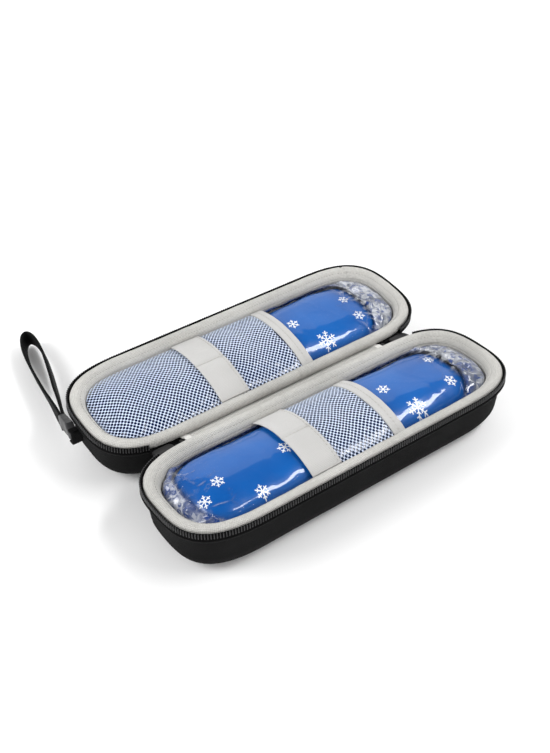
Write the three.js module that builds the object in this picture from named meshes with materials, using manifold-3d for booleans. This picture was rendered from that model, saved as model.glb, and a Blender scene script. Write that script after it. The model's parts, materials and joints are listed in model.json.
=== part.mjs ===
// Insulin cooling case, open on a table: two lined shells on a fabric hinge, with gel packs and a wrist loop.
// Millimetres, +Z up, +X along the case, +Y from the base to the lid. The origin is the middle of the base's
// underside.
import * as THREE from 'three';
import { mergeVertices } from 'three/addons/utils/BufferGeometryUtils.js';
import Module from 'manifold-3d';

const wasm = await Module();
wasm.setup();

// Outline of each half at its rim
const RIM_LENGTH = 210;
const RIM_WIDTH = 67.2;
const END_LENGTH = 44;
const END_POWER = 2.95;
const END_STEPS = 16;

// Shell
const HALF_DEPTH = 32;
const SHELL_TOP = 6.4;
const SHELL_TOP_INSET = 0.3;
const SHELL_LOW_INSET = 1.6;
const SHELL_WALL = 2.5;
const BOTTOM_FILLET = 12.4;
const FILLET_STEPS = 4;

// Padded rim, zip tape and zip coil
const RIM_ROLL_WIDTH = 6.4;
const RIM_ROLL_HEIGHT = 5;
const TAPE_REACH = 1.3;
const TAPE_LEG = 3;
const TAPE_THICK = 0.8;
const TAPE_DEPTH = 6.1;
const COIL_WIDTH = 1.4;
const COIL_HEIGHT = 2.6;
const COIL_TOP = 0.8;
const ZIP_END_SKIP = 2;

// Lining and insulation
const LINING_LIP = 3.2;
const LINING_THICK = 0.9;
const LINING_FLOOR = 24;
const LINING_FLAT_INSET = 20;

// Gel pack and its film sleeve
const PACK_SIDE_ROOM = 2.25;
const PACK_END_ROOM = 5.5;
const PACK_END = 31;
const PACK_TOP = 3.1;
const PACK_BOTTOM = 23;
const SLEEVE_END_ROOM = 3.35;
const SLEEVE_FLAT_END = 9;
const FILM_THICK = 0.4;

// Net, hem and elastic across the tray
const NET_THICK = 0.7;
const NET_MIDDLE = 2.1;
const NET_EDGE_DROP = 3.2;
const NET_STRAND = 1.6;
const NET_ROWS = 7;
const NET_PITCH = 6;
const NET_END_ROOM = 4.35;
const NET_END_SLOPE = 18;
const NET_END = 19.8;
const HEM_WIDTH = 7.3;
const HEM_THICK = 1.2;
const BAND_REACH = 33.3;
const BAND_TUCK = 2;
const BAND_WIDTH = 18;
const BAND_THICK = 1;
const STRIP_STEPS = 8;

// Fabric hinge
const FOLD_SPAN = 8.6;
const LID_TILT = THREE.MathUtils.degToRad(7.9);
const RIMS_APART = 0.6;
const HINGE_END_ROOM = 39.5;
const STRIP_THICK = 0.9;

// Zip ends, sliders and pulls on the hinge
const CHAIN_NECK_GAP = 1.05;
const CHAIN_THICK = 0.8;
const CHAIN_DROP = 1.4;
const STOP_LENGTH = 2;
const STOP_WIDTH = 5;
const STOP_HEIGHT = 0.7;
const CHAIN_SHOWN = 7.5;
const SLIDER_LENGTH = 12;
const SLIDER_PLATE = 1;
const SLIDER_NECK_LENGTH = 3.4;
const SLIDER_NECK_EDGE = 0.5;
const SLIDER_NECK_WIDTH = 2.4;
const BRIDGE_SPAN = 8;
const BRIDGE_WIDTH = 2;
const BRIDGE_THICK = 1;
const BRIDGE_ROOM = 1.9;
const PULL_LENGTH = 13;
const PULL_WIDTH = 4.4;
const PULL_THICK = 1.2;
const PULL_PIN = 1.1;
const PULL_EYE_LENGTH = 4.5;
const PULL_EYE_WIDTH = 2.8;

// Wrist loop on the lid's end
const ANCHOR_OFFSET = 3.6;
const ANCHOR_DEPTH = 10.9;
const ANCHOR_THICK = 1;
const ANCHOR_LIP = 0.5;
const WEBBING_WIDTH = 10;
const WEBBING_THICK = 1.6;
const KEEPER_LENGTH = 30;
const KEEPER_THICK = 4.8;
const KEEPER_HEIGHT = 9;
const KEEPER_DROP = 13.2;
const TONGUE_LENGTH = 4.2;
const TONGUE_HEIGHT = 5;
const LOOP_LENGTH = 123;
const LOOP_SPREAD = 9;
const LOOP_POWER = 3;
const LOOP_STEPS = 40;
const LOOP_PITCH = THREE.MathUtils.degToRad(3.1);
const LOOP_ROLL = THREE.MathUtils.degToRad(12);
const LOOP_TWIST = 30;
const STRAP_YAW = THREE.MathUtils.degToRad(77.1);

// Fits
const CLEARANCE = 0.35;
const FOLD_CLEARANCE = 0.4;
const EAR_CLEARANCE = 0.5;

// Sizes that follow from the ones above
const HALF_LENGTH = RIM_LENGTH / 2;
const HALF_WIDTH = RIM_WIDTH / 2;
const LINING_INSET = RIM_ROLL_WIDTH + CLEARANCE;
const TRAY_INSET = LINING_INSET + LINING_THICK;
const STRIP_HALF_WIDTH = HALF_WIDTH - TRAY_INSET - CLEARANCE;
const SLEEVE_LENGTH = 2 * (HALF_LENGTH - TRAY_INSET - SLEEVE_END_ROOM);
const PACK_LENGTH = SLEEVE_LENGTH - 2 * PACK_END_ROOM;
const PACK_WIDTH = 2 * (HALF_WIDTH - TRAY_INSET - PACK_SIDE_ROOM);
const LID_NET_START = NET_END_ROOM + TRAY_INSET - HALF_LENGTH;
const BASE_NET_START = BAND_TUCK - BAND_REACH;
const HINGE_LENGTH = RIM_LENGTH - 2 * HINGE_END_ROOM;
const SLIDER_START = HINGE_LENGTH / 2 + CHAIN_SHOWN;
const SLIDER_CHANNEL = SLIDER_LENGTH - SLIDER_NECK_EDGE - SLIDER_NECK_LENGTH;
const CHAIN_LENGTH = CHAIN_SHOWN - CLEARANCE + SLIDER_CHANNEL - CHAIN_NECK_GAP;
const FOLD_DROP = (FOLD_SPAN - RIMS_APART) / 2;
const FOLD_LINE = HALF_WIDTH + FOLD_CLEARANCE;
const FILLET_CENTRE_INSET = SHELL_LOW_INSET + BOTTOM_FILLET;
const FILLET_CENTRE_DEPTH = HALF_DEPTH - BOTTOM_FILLET;

// The lid leans back on its lower edge, so its height follows from its tilt
const LID_HEIGHT = (HALF_WIDTH - FILLET_CENTRE_INSET) * Math.sin(LID_TILT)
  + FILLET_CENTRE_DEPTH * Math.cos(LID_TILT) + BOTTOM_FILLET;
const BASE_FOLD_HEIGHT = HALF_DEPTH - FOLD_DROP;
const LID_FOLD_HEIGHT = LID_HEIGHT - FOLD_LINE * Math.sin(LID_TILT) - FOLD_DROP * Math.cos(LID_TILT);
const SPINE_ANGLE = Math.asin((LID_FOLD_HEIGHT - BASE_FOLD_HEIGHT) / FOLD_SPAN);
const LID_FOLD_PLACE = FOLD_LINE + FOLD_SPAN * Math.cos(SPINE_ANGLE);
const LID_PLACE = LID_FOLD_PLACE + FOLD_LINE * Math.cos(LID_TILT) - FOLD_DROP * Math.sin(LID_TILT);

// Finishes: colour, roughness and metalness
const FINISH = {
  shell: [0x26272a, 0.85, 0],
  tape: [0x1a1b1d, 0.8, 0],
  coil: [0x2a2b2e, 0.45, 0],
  grey: [0xd6d4cf, 0.9, 0],
  foam: [0xb9bcc2, 0.8, 0],
  gel: [0x1565c0, 0.4, 0],
  film: [0xcfe3f2, 0.15, 0],
  net: [0xf2f3f5, 0.8, 0],
  slider: [0x3a3c40, 0.35, 0.8],
  webbing: [0x202124, 0.75, 0],
  keeper: [0x4a4b4e, 0.5, 0],
};

function mesh(name, geometry, finish) {
  const [color, roughness, metalness] = finish;
  const item = new THREE.Mesh(geometry, new THREE.MeshStandardMaterial({ color, roughness, metalness }));
  item.name = name;
  return item;
}

// A closed geometry from points and triangles, turned to face out
function closed(points, triangles) {
  let volume = 0;
  for (const [a, b, c] of triangles) {
    volume += points[a].dot(new THREE.Vector3().crossVectors(points[b], points[c]));
  }
  const facing = volume < 0 ? triangles.map(([a, b, c]) => [a, c, b]) : triangles;
  const geometry = new THREE.BufferGeometry().setFromPoints(points);
  geometry.setIndex(facing.flat());
  geometry.computeVertexNormals();
  return geometry;
}

// Triangles that fill one flat ring of points
function cap(ring, offset) {
  const normal = new THREE.Vector3();
  ring.forEach((point, i) => {
    normal.add(new THREE.Vector3().crossVectors(point, ring[(i + 1) % ring.length]));
  });
  const across = new THREE.Vector3().subVectors(ring[1], ring[0]).normalize();
  const along = new THREE.Vector3().crossVectors(normal.normalize(), across);
  const flat = ring.map((point) => new THREE.Vector2(point.dot(across), point.dot(along)));
  return THREE.ShapeUtils.triangulateShape(flat, []).map((face) => face.map((i) => i + offset));
}

// A skin over rings of equal length, joined end to end or capped at both ends
function skin(rings, joined) {
  const count = rings[0].length;
  const triangles = [];
  const last = joined ? rings.length : rings.length - 1;
  for (let row = 0; row < last; row += 1) {
    const here = row * count;
    const next = ((row + 1) % rings.length) * count;
    for (let i = 0; i < count; i += 1) {
      const j = (i + 1) % count;
      triangles.push([here + i, here + j, next + j], [here + i, next + j, next + i]);
    }
  }
  if (!joined) {
    for (const face of cap(rings[0], 0)) triangles.push([face[0], face[2], face[1]]);
    triangles.push(...cap(rings.at(-1), (rings.length - 1) * count));
  }
  return closed(rings.flat(), triangles);
}

// Straight sides with superelliptic ends, counter-clockwise from the front right corner
function outline(halfLength, halfWidth, endLength) {
  const straight = halfLength - endLength;
  const points = [];
  for (const side of [1, -1]) {
    for (let step = 0; step <= END_STEPS; step += 1) {
      const angle = Math.PI * (step / END_STEPS - 0.5);
      const x = straight + endLength * Math.abs(Math.cos(angle)) ** (2 / END_POWER);
      const y = halfWidth * Math.sign(angle) * Math.abs(Math.sin(angle)) ** (2 / END_POWER);
      points.push(new THREE.Vector2(side * x, side * y));
    }
  }
  return points;
}

// The rim's outline moved in by an inset, at a depth below the rim
function ring(inset, depth) {
  return outline(HALF_LENGTH - inset, HALF_WIDTH - inset, END_LENGTH - inset)
    .map(({ x, y }) => new THREE.Vector3(x, y, -depth));
}

function bowl(profile) {
  return skin(profile.map(([inset, depth]) => ring(inset, depth)), false);
}

function fillet(radius) {
  const points = [];
  for (let step = 1; step <= FILLET_STEPS; step += 1) {
    const angle = (Math.PI / 2) * (step / FILLET_STEPS);
    points.push([
      FILLET_CENTRE_INSET - radius * Math.cos(angle),
      FILLET_CENTRE_DEPTH + radius * Math.sin(angle),
    ]);
  }
  return points;
}

// One side of the shell wall, from its top to the middle of its floor
function wall(thick, top) {
  return [
    [SHELL_TOP_INSET + thick, top],
    [(SHELL_TOP_INSET + SHELL_LOW_INSET) / 2 + thick, (SHELL_TOP + FILLET_CENTRE_DEPTH) / 2],
    [SHELL_LOW_INSET + thick, FILLET_CENTRE_DEPTH],
    ...fillet(BOTTOM_FILLET - thick),
  ];
}

function shell() {
  return bowl([...wall(SHELL_WALL, SHELL_TOP).reverse(), ...wall(0, SHELL_TOP)]);
}

// One side of the lining, moved out by a thickness
function liningSide(thick) {
  const inset = LINING_INSET + LINING_THICK - thick;
  return [
    [inset, LINING_LIP],
    [inset + 0.3, LINING_FLOOR / 2],
    [inset + 1.2, LINING_FLOOR - 4.2 + thick * 0.4],
    [inset + 3.6, LINING_FLOOR - 0.9 + thick],
    [LINING_FLAT_INSET, LINING_FLOOR + thick],
  ];
}

function lining() {
  return bowl([...liningSide(0).reverse(), ...liningSide(LINING_THICK)]);
}

function insulation() {
  const top = RIM_ROLL_HEIGHT + CLEARANCE;
  const inside = liningSide(LINING_THICK + CLEARANCE);
  inside[0][1] = top;
  return bowl([...inside.reverse(), ...wall(SHELL_WALL + CLEARANCE, top)]);
}

function rimRoll() {
  const section = [
    [0, 1],
    [0, 0.52],
    [0.1, 0.19],
    [0.28, 0.03],
    [0.49, 0],
    [0.73, 0.07],
    [0.91, 0.32],
    [1, 0.72],
    [1, 1],
  ];
  const rings = section.map(([across, down]) => ring(across * RIM_ROLL_WIDTH, down * RIM_ROLL_HEIGHT));
  return skin(rings, true);
}

// A section swept round the three zipped sides, open along the hinge
function zipSweep(section, hingeSide) {
  const rings = section.map(([inset, depth]) => ring(inset, depth));
  const ends = END_STEPS + 1;
  const order = [];
  for (let i = ends - 1 - ZIP_END_SKIP; i >= 0; i -= 1) order.push(i);
  for (let i = 2 * ends - 1; i >= ends + ZIP_END_SKIP; i -= 1) order.push(i);
  const path = order.map((i) => rings.map((points) => points[i].clone()));
  if (hingeSide < 0) path.flat().forEach((point) => point.setY(-point.y));
  return skin(path, false);
}

function zipTape(hingeSide) {
  const inner = TAPE_THICK - TAPE_REACH;
  const top = COIL_TOP + COIL_HEIGHT + CLEARANCE;
  const section = [
    [-TAPE_REACH, top],
    [inner, top],
    [inner, TAPE_DEPTH - TAPE_THICK],
    [TAPE_LEG, TAPE_DEPTH - TAPE_THICK],
    [TAPE_LEG, TAPE_DEPTH],
    [-TAPE_REACH, TAPE_DEPTH],
  ];
  return zipSweep(section, hingeSide);
}

function zipCoil(hingeSide) {
  const near = -CLEARANCE;
  const far = near - COIL_WIDTH;
  const low = COIL_TOP + COIL_HEIGHT;
  const bevel = COIL_WIDTH / 3;
  const section = [
    [near, COIL_TOP],
    [near, low],
    [far + bevel, low],
    [far, low - bevel],
    [far, COIL_TOP + bevel],
    [far + bevel, COIL_TOP],
  ];
  return zipSweep(section, hingeSide);
}

// Rings of a pillow: each row is an inset from its outline and a depth
function pillowRings(length, width, rows) {
  return rows.map(([inset, depth]) => outline(length / 2 - inset, width / 2 - inset, PACK_END - inset * 0.5)
    .map(({ x, y }) => new THREE.Vector3(x, y, -depth)));
}

// Crown, drawn-in sides and flat underside of the pack, grown by a margin
function pillowRows(margin) {
  const middle = (PACK_TOP + PACK_BOTTOM) / 2;
  const half = PACK_WIDTH / 2;
  const deep = PACK_BOTTOM - PACK_TOP;
  return [
    [0.82 * half, PACK_TOP - margin],
    [0.58 * half, PACK_TOP + 0.045 * deep - margin],
    [0.39 * half, PACK_TOP + 0.095 * deep - margin],
    [0.24 * half, PACK_TOP + 0.155 * deep - margin],
    [0.12 * half, PACK_TOP + 0.24 * deep - margin],
    [0.04 * half, PACK_TOP + 0.35 * deep - margin],
    [0, middle],
    [0.05 * half, PACK_BOTTOM - 0.2 * deep + margin * 0.6],
    [0.17 * half, PACK_BOTTOM - 0.05 * deep + margin * 0.6],
    [0.35 * half, PACK_BOTTOM + margin * 0.6],
  ];
}

function gelPack() {
  return skin(pillowRings(PACK_LENGTH, PACK_WIDTH, pillowRows(0)), false);
}

// A film bag round the pack, flattened at its ends and open along its underside
function packSleeve() {
  const middle = -(PACK_TOP + PACK_BOTTOM) / 2;
  const skins = [CLEARANCE, CLEARANCE + FILM_THICK].map((margin) => pillowRings(
    SLEEVE_LENGTH + 2 * margin,
    PACK_WIDTH + 2 * margin,
    pillowRows(margin),
  ));
  const rings = [...skins[0], ...skins[1].reverse()];
  const start = SLEEVE_LENGTH / 2 - SLEEVE_FLAT_END;
  for (const point of rings.flat()) {
    const flat = 0.55 * THREE.MathUtils.smoothstep(Math.abs(point.x), start, start + SLEEVE_FLAT_END);
    point.setZ(middle + (point.z - middle) * (1 - flat));
  }
  return skin(rings, false);
}

// Height of the net's underside over the pack, where across runs from -1 to 1; it dips at the tray's end
function netHeight(across, x) {
  const slopeStart = -LID_NET_START - NET_END_SLOPE;
  const end = Math.max(0, Math.abs(x) - slopeStart) / NET_END_SLOPE;
  return -NET_MIDDLE - NET_EDGE_DROP * (1 - (1 - across ** 2) * (1 - end ** 2));
}

// Half the room between the lining's walls at a place along the case
function trayHalfWidth(x) {
  const inset = HALF_WIDTH - STRIP_HALF_WIDTH;
  const endLength = END_LENGTH - inset;
  const past = Math.max(0, Math.abs(x) - (HALF_LENGTH - END_LENGTH)) / endLength;
  return STRIP_HALF_WIDTH * (1 - past ** END_POWER) ** (1 / END_POWER);
}

// Places of the strand edges across a stretch with a number of gaps
function strandEdges(start, end, gaps, strand) {
  const pitch = (end - start - strand) / gaps;
  const edges = [];
  for (let i = 0; i <= gaps; i += 1) edges.push(start + i * pitch, start + i * pitch + strand);
  return edges;
}

// A bowed net of flat strands with square gaps
function net(start) {
  const alongEdges = strandEdges(start, NET_END, Math.round((NET_END - start) / NET_PITCH), NET_STRAND);
  const acrossEdges = strandEdges(-1, 1, NET_ROWS, NET_STRAND / STRIP_HALF_WIDTH);
  const columns = alongEdges.length;
  const points = [];
  for (const lift of [0, NET_THICK]) {
    for (const across of acrossEdges) {
      for (const x of alongEdges) {
        points.push(new THREE.Vector3(x, across * trayHalfWidth(x), netHeight(across, x) + lift));
      }
    }
  }
  const upper = points.length / 2;
  const solid = (i, j) => i >= 0 && j >= 0 && i < columns - 1 && j < acrossEdges.length - 1
    && (i % 2 === 0 || j % 2 === 0);
  const triangles = [];
  const quad = (a, b, c, d) => triangles.push([a, b, c], [a, c, d]);
  for (let j = 0; j < acrossEdges.length - 1; j += 1) {
    for (let i = 0; i < columns - 1; i += 1) {
      if (!solid(i, j)) continue;
      const a = j * columns + i;
      const b = a + 1;
      const c = b + columns;
      const d = a + columns;
      quad(a + upper, b + upper, c + upper, d + upper);
      quad(a, d, c, b);
      if (!solid(i, j - 1)) quad(a, b, b + upper, a + upper);
      if (!solid(i + 1, j)) quad(b, c, c + upper, b + upper);
      if (!solid(i, j + 1)) quad(c, d, d + upper, c + upper);
      if (!solid(i - 1, j)) quad(d, a, a + upper, d + upper);
    }
  }
  return closed(points, triangles);
}

// An elastic strip across the tray, bowed like the net, lifted over it
function strip(start, width, thick, lift) {
  const rings = [];
  for (let step = 0; step <= STRIP_STEPS; step += 1) {
    const across = (2 * step) / STRIP_STEPS - 1;
    const y = across * STRIP_HALF_WIDTH;
    const z = netHeight(across, start) + lift;
    rings.push([
      new THREE.Vector3(start, y, z),
      new THREE.Vector3(start + width, y, z),
      new THREE.Vector3(start + width, y, z + thick),
      new THREE.Vector3(start, y, z + thick),
    ]);
  }
  return skin(rings, false);
}

// The pieces that both halves have; hingeSide is +1 where the hinge lies on +Y
function half(prefix, hingeSide, netStart) {
  const group = new THREE.Group();
  group.add(
    mesh(`${prefix}_shell`, shell(), FINISH.shell),
    mesh(`${prefix}_insulation`, insulation(), FINISH.foam),
    mesh(`${prefix}_lining`, lining(), FINISH.grey),
    mesh(`${prefix}_rim_roll`, rimRoll(), FINISH.grey),
    mesh(`${prefix}_zip_tape`, zipTape(hingeSide), FINISH.tape),
    mesh(`${prefix}_zip_coil`, zipCoil(hingeSide), FINISH.coil),
    mesh(`${prefix}_gel_pack`, gelPack(), FINISH.gel),
    mesh(`${prefix}_pack_sleeve`, packSleeve(), FINISH.film),
    mesh(`${prefix}_mesh_net`, net(netStart), FINISH.net),
    mesh(`${prefix}_net_hem`, strip(NET_END + CLEARANCE, HEM_WIDTH, HEM_THICK, 0), FINISH.grey),
    mesh(`${prefix}_wide_band`, strip(-BAND_REACH, BAND_WIDTH, BAND_THICK, NET_THICK + CLEARANCE), FINISH.grey),
  );
  return group;
}

// A box between two corners
function box(from, to) {
  const size = new THREE.Vector3(...to).sub(new THREE.Vector3(...from));
  const middle = new THREE.Vector3(...from).addScaledVector(size, 0.5);
  return new THREE.BoxGeometry(size.x, size.y, size.z).translate(middle.x, middle.y, middle.z);
}

function toManifold(geometry) {
  const plain = geometry.clone();
  plain.deleteAttribute('normal');
  plain.deleteAttribute('uv');
  const merged = mergeVertices(plain);
  return new wasm.Manifold(new wasm.Mesh({
    numProp: 3,
    vertProperties: new Float32Array(merged.attributes.position.array),
    triVerts: new Uint32Array(merged.index.array),
  }));
}

function fromManifold(manifold) {
  const { vertProperties, triVerts } = manifold.getMesh();
  const geometry = new THREE.BufferGeometry();
  geometry.setAttribute('position', new THREE.BufferAttribute(new Float32Array(vertProperties), 3));
  geometry.setIndex(new THREE.BufferAttribute(new Uint32Array(triVerts), 1));
  geometry.computeVertexNormals();
  return geometry;
}

function union(geometries) {
  return fromManifold(geometries.map(toManifold).reduce((joined, next) => joined.add(next)));
}

function without(geometry, cutter) {
  return fromManifold(toManifold(geometry).subtract(toManifold(cutter)));
}

// Levels of the slider below the hinge strip's top, and its edges across the strip
const CHAIN_LOW = -CHAIN_DROP - CHAIN_THICK;
const SLIDER_TOP = -CHAIN_DROP + CLEARANCE + SLIDER_PLATE;
const SLIDER_LOW = CHAIN_LOW - CLEARANCE - SLIDER_PLATE;
const SLIDER_EDGE = 0.6;
const SLIDER_MIDDLE = SLIDER_START + SLIDER_LENGTH / 2;
const BRIDGE_LOW = SLIDER_LOW - BRIDGE_ROOM - BRIDGE_THICK;
const PULL_PIVOT = SLIDER_LOW - BRIDGE_ROOM / 2;
const FOLD_MIDDLE = FOLD_SPAN / 2;

// Slider: two plates on a neck, with a bridge below that carries the pull
function slider() {
  const end = SLIDER_START + SLIDER_LENGTH;
  const near = SLIDER_EDGE;
  const far = FOLD_SPAN - SLIDER_EDGE;
  const neckStart = end - SLIDER_NECK_LENGTH - SLIDER_NECK_EDGE;
  const bridgeStart = SLIDER_MIDDLE - BRIDGE_SPAN / 2;
  const bridgeEnd = SLIDER_MIDDLE + BRIDGE_SPAN / 2;
  const bridgeNear = FOLD_MIDDLE - BRIDGE_WIDTH / 2;
  const bridgeFar = FOLD_MIDDLE + BRIDGE_WIDTH / 2;
  const neckNear = FOLD_MIDDLE - SLIDER_NECK_WIDTH / 2;
  const neckFar = FOLD_MIDDLE + SLIDER_NECK_WIDTH / 2;
  return union([
    box([SLIDER_START, near, SLIDER_TOP - SLIDER_PLATE], [end, far, SLIDER_TOP]),
    box([SLIDER_START, near, SLIDER_LOW], [end, far, SLIDER_LOW + SLIDER_PLATE]),
    box([neckStart, neckNear, SLIDER_LOW], [neckStart + SLIDER_NECK_LENGTH, neckFar, SLIDER_TOP]),
    box([bridgeStart, bridgeNear, BRIDGE_LOW], [bridgeEnd, bridgeFar, BRIDGE_LOW + BRIDGE_THICK]),
    box([bridgeStart, bridgeNear, BRIDGE_LOW], [bridgeStart + BRIDGE_THICK, bridgeFar, SLIDER_LOW]),
    box([bridgeEnd - BRIDGE_THICK, bridgeNear, BRIDGE_LOW], [bridgeEnd, bridgeFar, SLIDER_LOW]),
  ]);
}

// Pull: a hanging tab whose top bar is threaded through the slider's bridge
function pull() {
  const front = SLIDER_MIDDLE - PULL_THICK / 2;
  const back = SLIDER_MIDDLE + PULL_THICK / 2;
  const top = PULL_PIVOT + PULL_PIN / 2;
  const eyeTop = PULL_PIVOT - PULL_PIN / 2;
  const tab = box(
    [front, FOLD_MIDDLE - PULL_WIDTH / 2, top - PULL_LENGTH],
    [back, FOLD_MIDDLE + PULL_WIDTH / 2, top],
  );
  const eye = box(
    [front - 1, FOLD_MIDDLE - PULL_EYE_WIDTH / 2, eyeTop - PULL_EYE_LENGTH],
    [back + 1, FOLD_MIDDLE + PULL_EYE_WIDTH / 2, eyeTop],
  );
  return without(tab, eye);
}

function chainEnd() {
  const start = HINGE_LENGTH / 2 + CLEARANCE;
  return box(
    [start, SLIDER_EDGE, CHAIN_LOW],
    [start + CHAIN_LENGTH, FOLD_SPAN - SLIDER_EDGE, -CHAIN_DROP],
  );
}

function chainStop() {
  const start = HINGE_LENGTH / 2 + CLEARANCE + 1;
  const low = CLEARANCE - CHAIN_DROP;
  return box(
    [start, FOLD_MIDDLE - STOP_WIDTH / 2, low],
    [start + STOP_LENGTH, FOLD_MIDDLE + STOP_WIDTH / 2, low + STOP_HEIGHT],
  );
}

// The hinge strip between the two fold lines, with its zip ends
function spine() {
  const group = new THREE.Group();
  const end = HINGE_LENGTH / 2;
  const near = CLEARANCE;
  const far = FOLD_SPAN - CLEARANCE;
  const outerTop = -STRIP_THICK - CLEARANCE;
  group.add(
    mesh('spine_lining', box([-end, near, -STRIP_THICK], [end, far, 0]), FINISH.grey),
    mesh('spine_outer', box([-end, near, outerTop - STRIP_THICK], [end, far, outerTop]), FINISH.tape),
  );
  for (const [side, turn] of [['right', 0], ['left', Math.PI]]) {
    const pieces = new THREE.Group();
    pieces.add(
      mesh(`${side}_chain_end`, chainEnd(), FINISH.tape),
      mesh(`${side}_chain_stop`, chainStop(), FINISH.coil),
      mesh(`${side}_slider`, slider(), FINISH.slider),
      mesh(`${side}_pull`, pull(), FINISH.slider),
    );
    pieces.rotation.z = turn;
    if (turn) pieces.position.y = FOLD_SPAN;
    group.add(pieces);
  }
  return group;
}

// Corners of a flat section, as shares of half its width and half its height
const CORNERS = [[-1, -1], [1, -1], [1, 1], [-1, 1]];

// Woven pocket sewn to the lid's end, open towards the keeper, about the axis of its swing
const ANCHOR_FACE = KEEPER_THICK / 2 + EAR_CLEARANCE;
const ANCHOR_BACK = ANCHOR_FACE + ANCHOR_THICK;
const STRAP_PIVOT_REACH = HALF_LENGTH - SHELL_TOP_INSET + CLEARANCE + ANCHOR_BACK;

function strapAnchor() {
  const earFace = TONGUE_HEIGHT / 2 + EAR_CLEARANCE;
  const top = earFace + ANCHOR_THICK;
  const side = -KEEPER_THICK / 2;
  return union([
    box([ANCHOR_FACE, -ANCHOR_BACK, -top], [ANCHOR_BACK, ANCHOR_LIP, top]),
    box([side, -ANCHOR_BACK, -top], [ANCHOR_BACK, -ANCHOR_FACE, top]),
    box([side, -ANCHOR_BACK, -top], [ANCHOR_BACK, ANCHOR_LIP, -earFace]),
    box([side, -ANCHOR_BACK, earFace], [ANCHOR_BACK, ANCHOR_LIP, top]),
  ]);
}

// Keeper over the webbing's ends: a tongue that is round about the axis of its swing, then a sleeve that slopes
// down to the loop
function strapKeeper() {
  const radius = KEEPER_THICK / 2;
  const low = TONGUE_HEIGHT / 2;
  const high = KEEPER_HEIGHT / 2;
  const flare = TONGUE_LENGTH + high - low;
  const slope = KEEPER_DROP / (KEEPER_LENGTH - TONGUE_LENGTH);
  const stations = [10, 30, 50, 70, 90].map((angle) => {
    const turn = THREE.MathUtils.degToRad(angle);
    return [-radius * Math.cos(turn), 0, low, radius * Math.sin(turn)];
  });
  stations.push(
    [TONGUE_LENGTH, 0, low, radius],
    [flare, slope * (flare - TONGUE_LENGTH), high, radius],
    [KEEPER_LENGTH, KEEPER_DROP, high, radius],
  );
  const rings = stations.map(([x, drop, tall, wide]) => CORNERS.map(([across, up]) => new THREE.Vector3(
    x,
    across * wide,
    up * tall - drop,
  )));
  return skin(rings, false);
}

// Half the width of the webbing loop, a teardrop whose angle runs from the keeper round its far end
function loopSide(angle) {
  return LOOP_SPREAD * Math.sin(angle) * Math.abs(Math.sin(angle / 2)) ** LOOP_POWER;
}

function wristStrap() {
  let start = 0;
  while (2 * loopSide(start) < WEBBING_THICK + CLEARANCE) start += 0.01;
  const middles = [];
  for (let step = 0; step <= LOOP_STEPS; step += 1) {
    const angle = start + (2 * (Math.PI - start) * step) / LOOP_STEPS;
    middles.push(new THREE.Vector2((LOOP_LENGTH / 2) * (1 - Math.cos(angle)), loopSide(angle)));
  }
  const gap = CLEARANCE + (WEBBING_WIDTH / 2) * Math.sin(LOOP_PITCH);
  const rings = middles.map((point, i) => {
    const before = middles[Math.max(0, i - 1)];
    const after = middles[Math.min(LOOP_STEPS, i + 1)];
    const way = new THREE.Vector2().subVectors(after, before).normalize();
    if (i === 0 || i === LOOP_STEPS) way.set(Math.sign(way.x), 0);
    const along = point.x - middles[0].x;
    const roll = LOOP_ROLL * THREE.MathUtils.smoothstep(along, 0, LOOP_TWIST);
    return CORNERS.map(([out, up]) => new THREE.Vector3(
      along - (way.y * out * WEBBING_THICK) / 2,
      point.y + (way.x * out * WEBBING_THICK) / 2,
      (up * WEBBING_WIDTH) / 2,
    ).applyAxisAngle(new THREE.Vector3(1, 0, 0), -roll));
  });
  return skin(rings, false).rotateY(LOOP_PITCH).translate(KEEPER_LENGTH + gap, 0, -KEEPER_DROP);
}

// Assembly
const group = new THREE.Group();
group.name = 'insulin_cooling_case';

const base = half('base', 1, BASE_NET_START);
base.position.z = HALF_DEPTH;

const lid = half('lid', -1, LID_NET_START);
lid.position.set(0, LID_PLACE, LID_HEIGHT);
lid.rotation.x = LID_TILT;

const hinge = spine();
hinge.position.set(0, FOLD_LINE, BASE_FOLD_HEIGHT);
hinge.rotation.x = SPINE_ANGLE;

const strap = new THREE.Group();
strap.add(
  mesh('strap_keeper', strapKeeper(), FINISH.keeper),
  mesh('wrist_strap', wristStrap(), FINISH.webbing),
);
const pivot = new THREE.Vector3(-STRAP_PIVOT_REACH, ANCHOR_OFFSET, -ANCHOR_DEPTH);
pivot.applyAxisAngle(new THREE.Vector3(1, 0, 0), LID_TILT).add(lid.position);
strap.position.copy(pivot);
strap.rotation.z = STRAP_YAW;

const anchor = mesh('strap_anchor', strapAnchor(), FINISH.webbing);
anchor.position.copy(pivot);

group.add(base, hinge, lid, anchor, strap);
group.updateMatrixWorld(true);

export default group;
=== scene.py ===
"""Looks of an insulin cooling case that lies open on a table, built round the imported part.

Everything is in metres in the part's own frame: +X along the case, +Y from the base to the lid, +Z up.
Sizes in the dataclasses are in millimetres unless they say otherwise, and a half's heights are measured from
its rim's plane.
"""

import json
import logging
import math
from dataclasses import dataclass
from enum import Enum
from typing import Callable, Sequence

import bmesh
import bpy
import numpy as np
from mathutils import Matrix, Vector, noise


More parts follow.
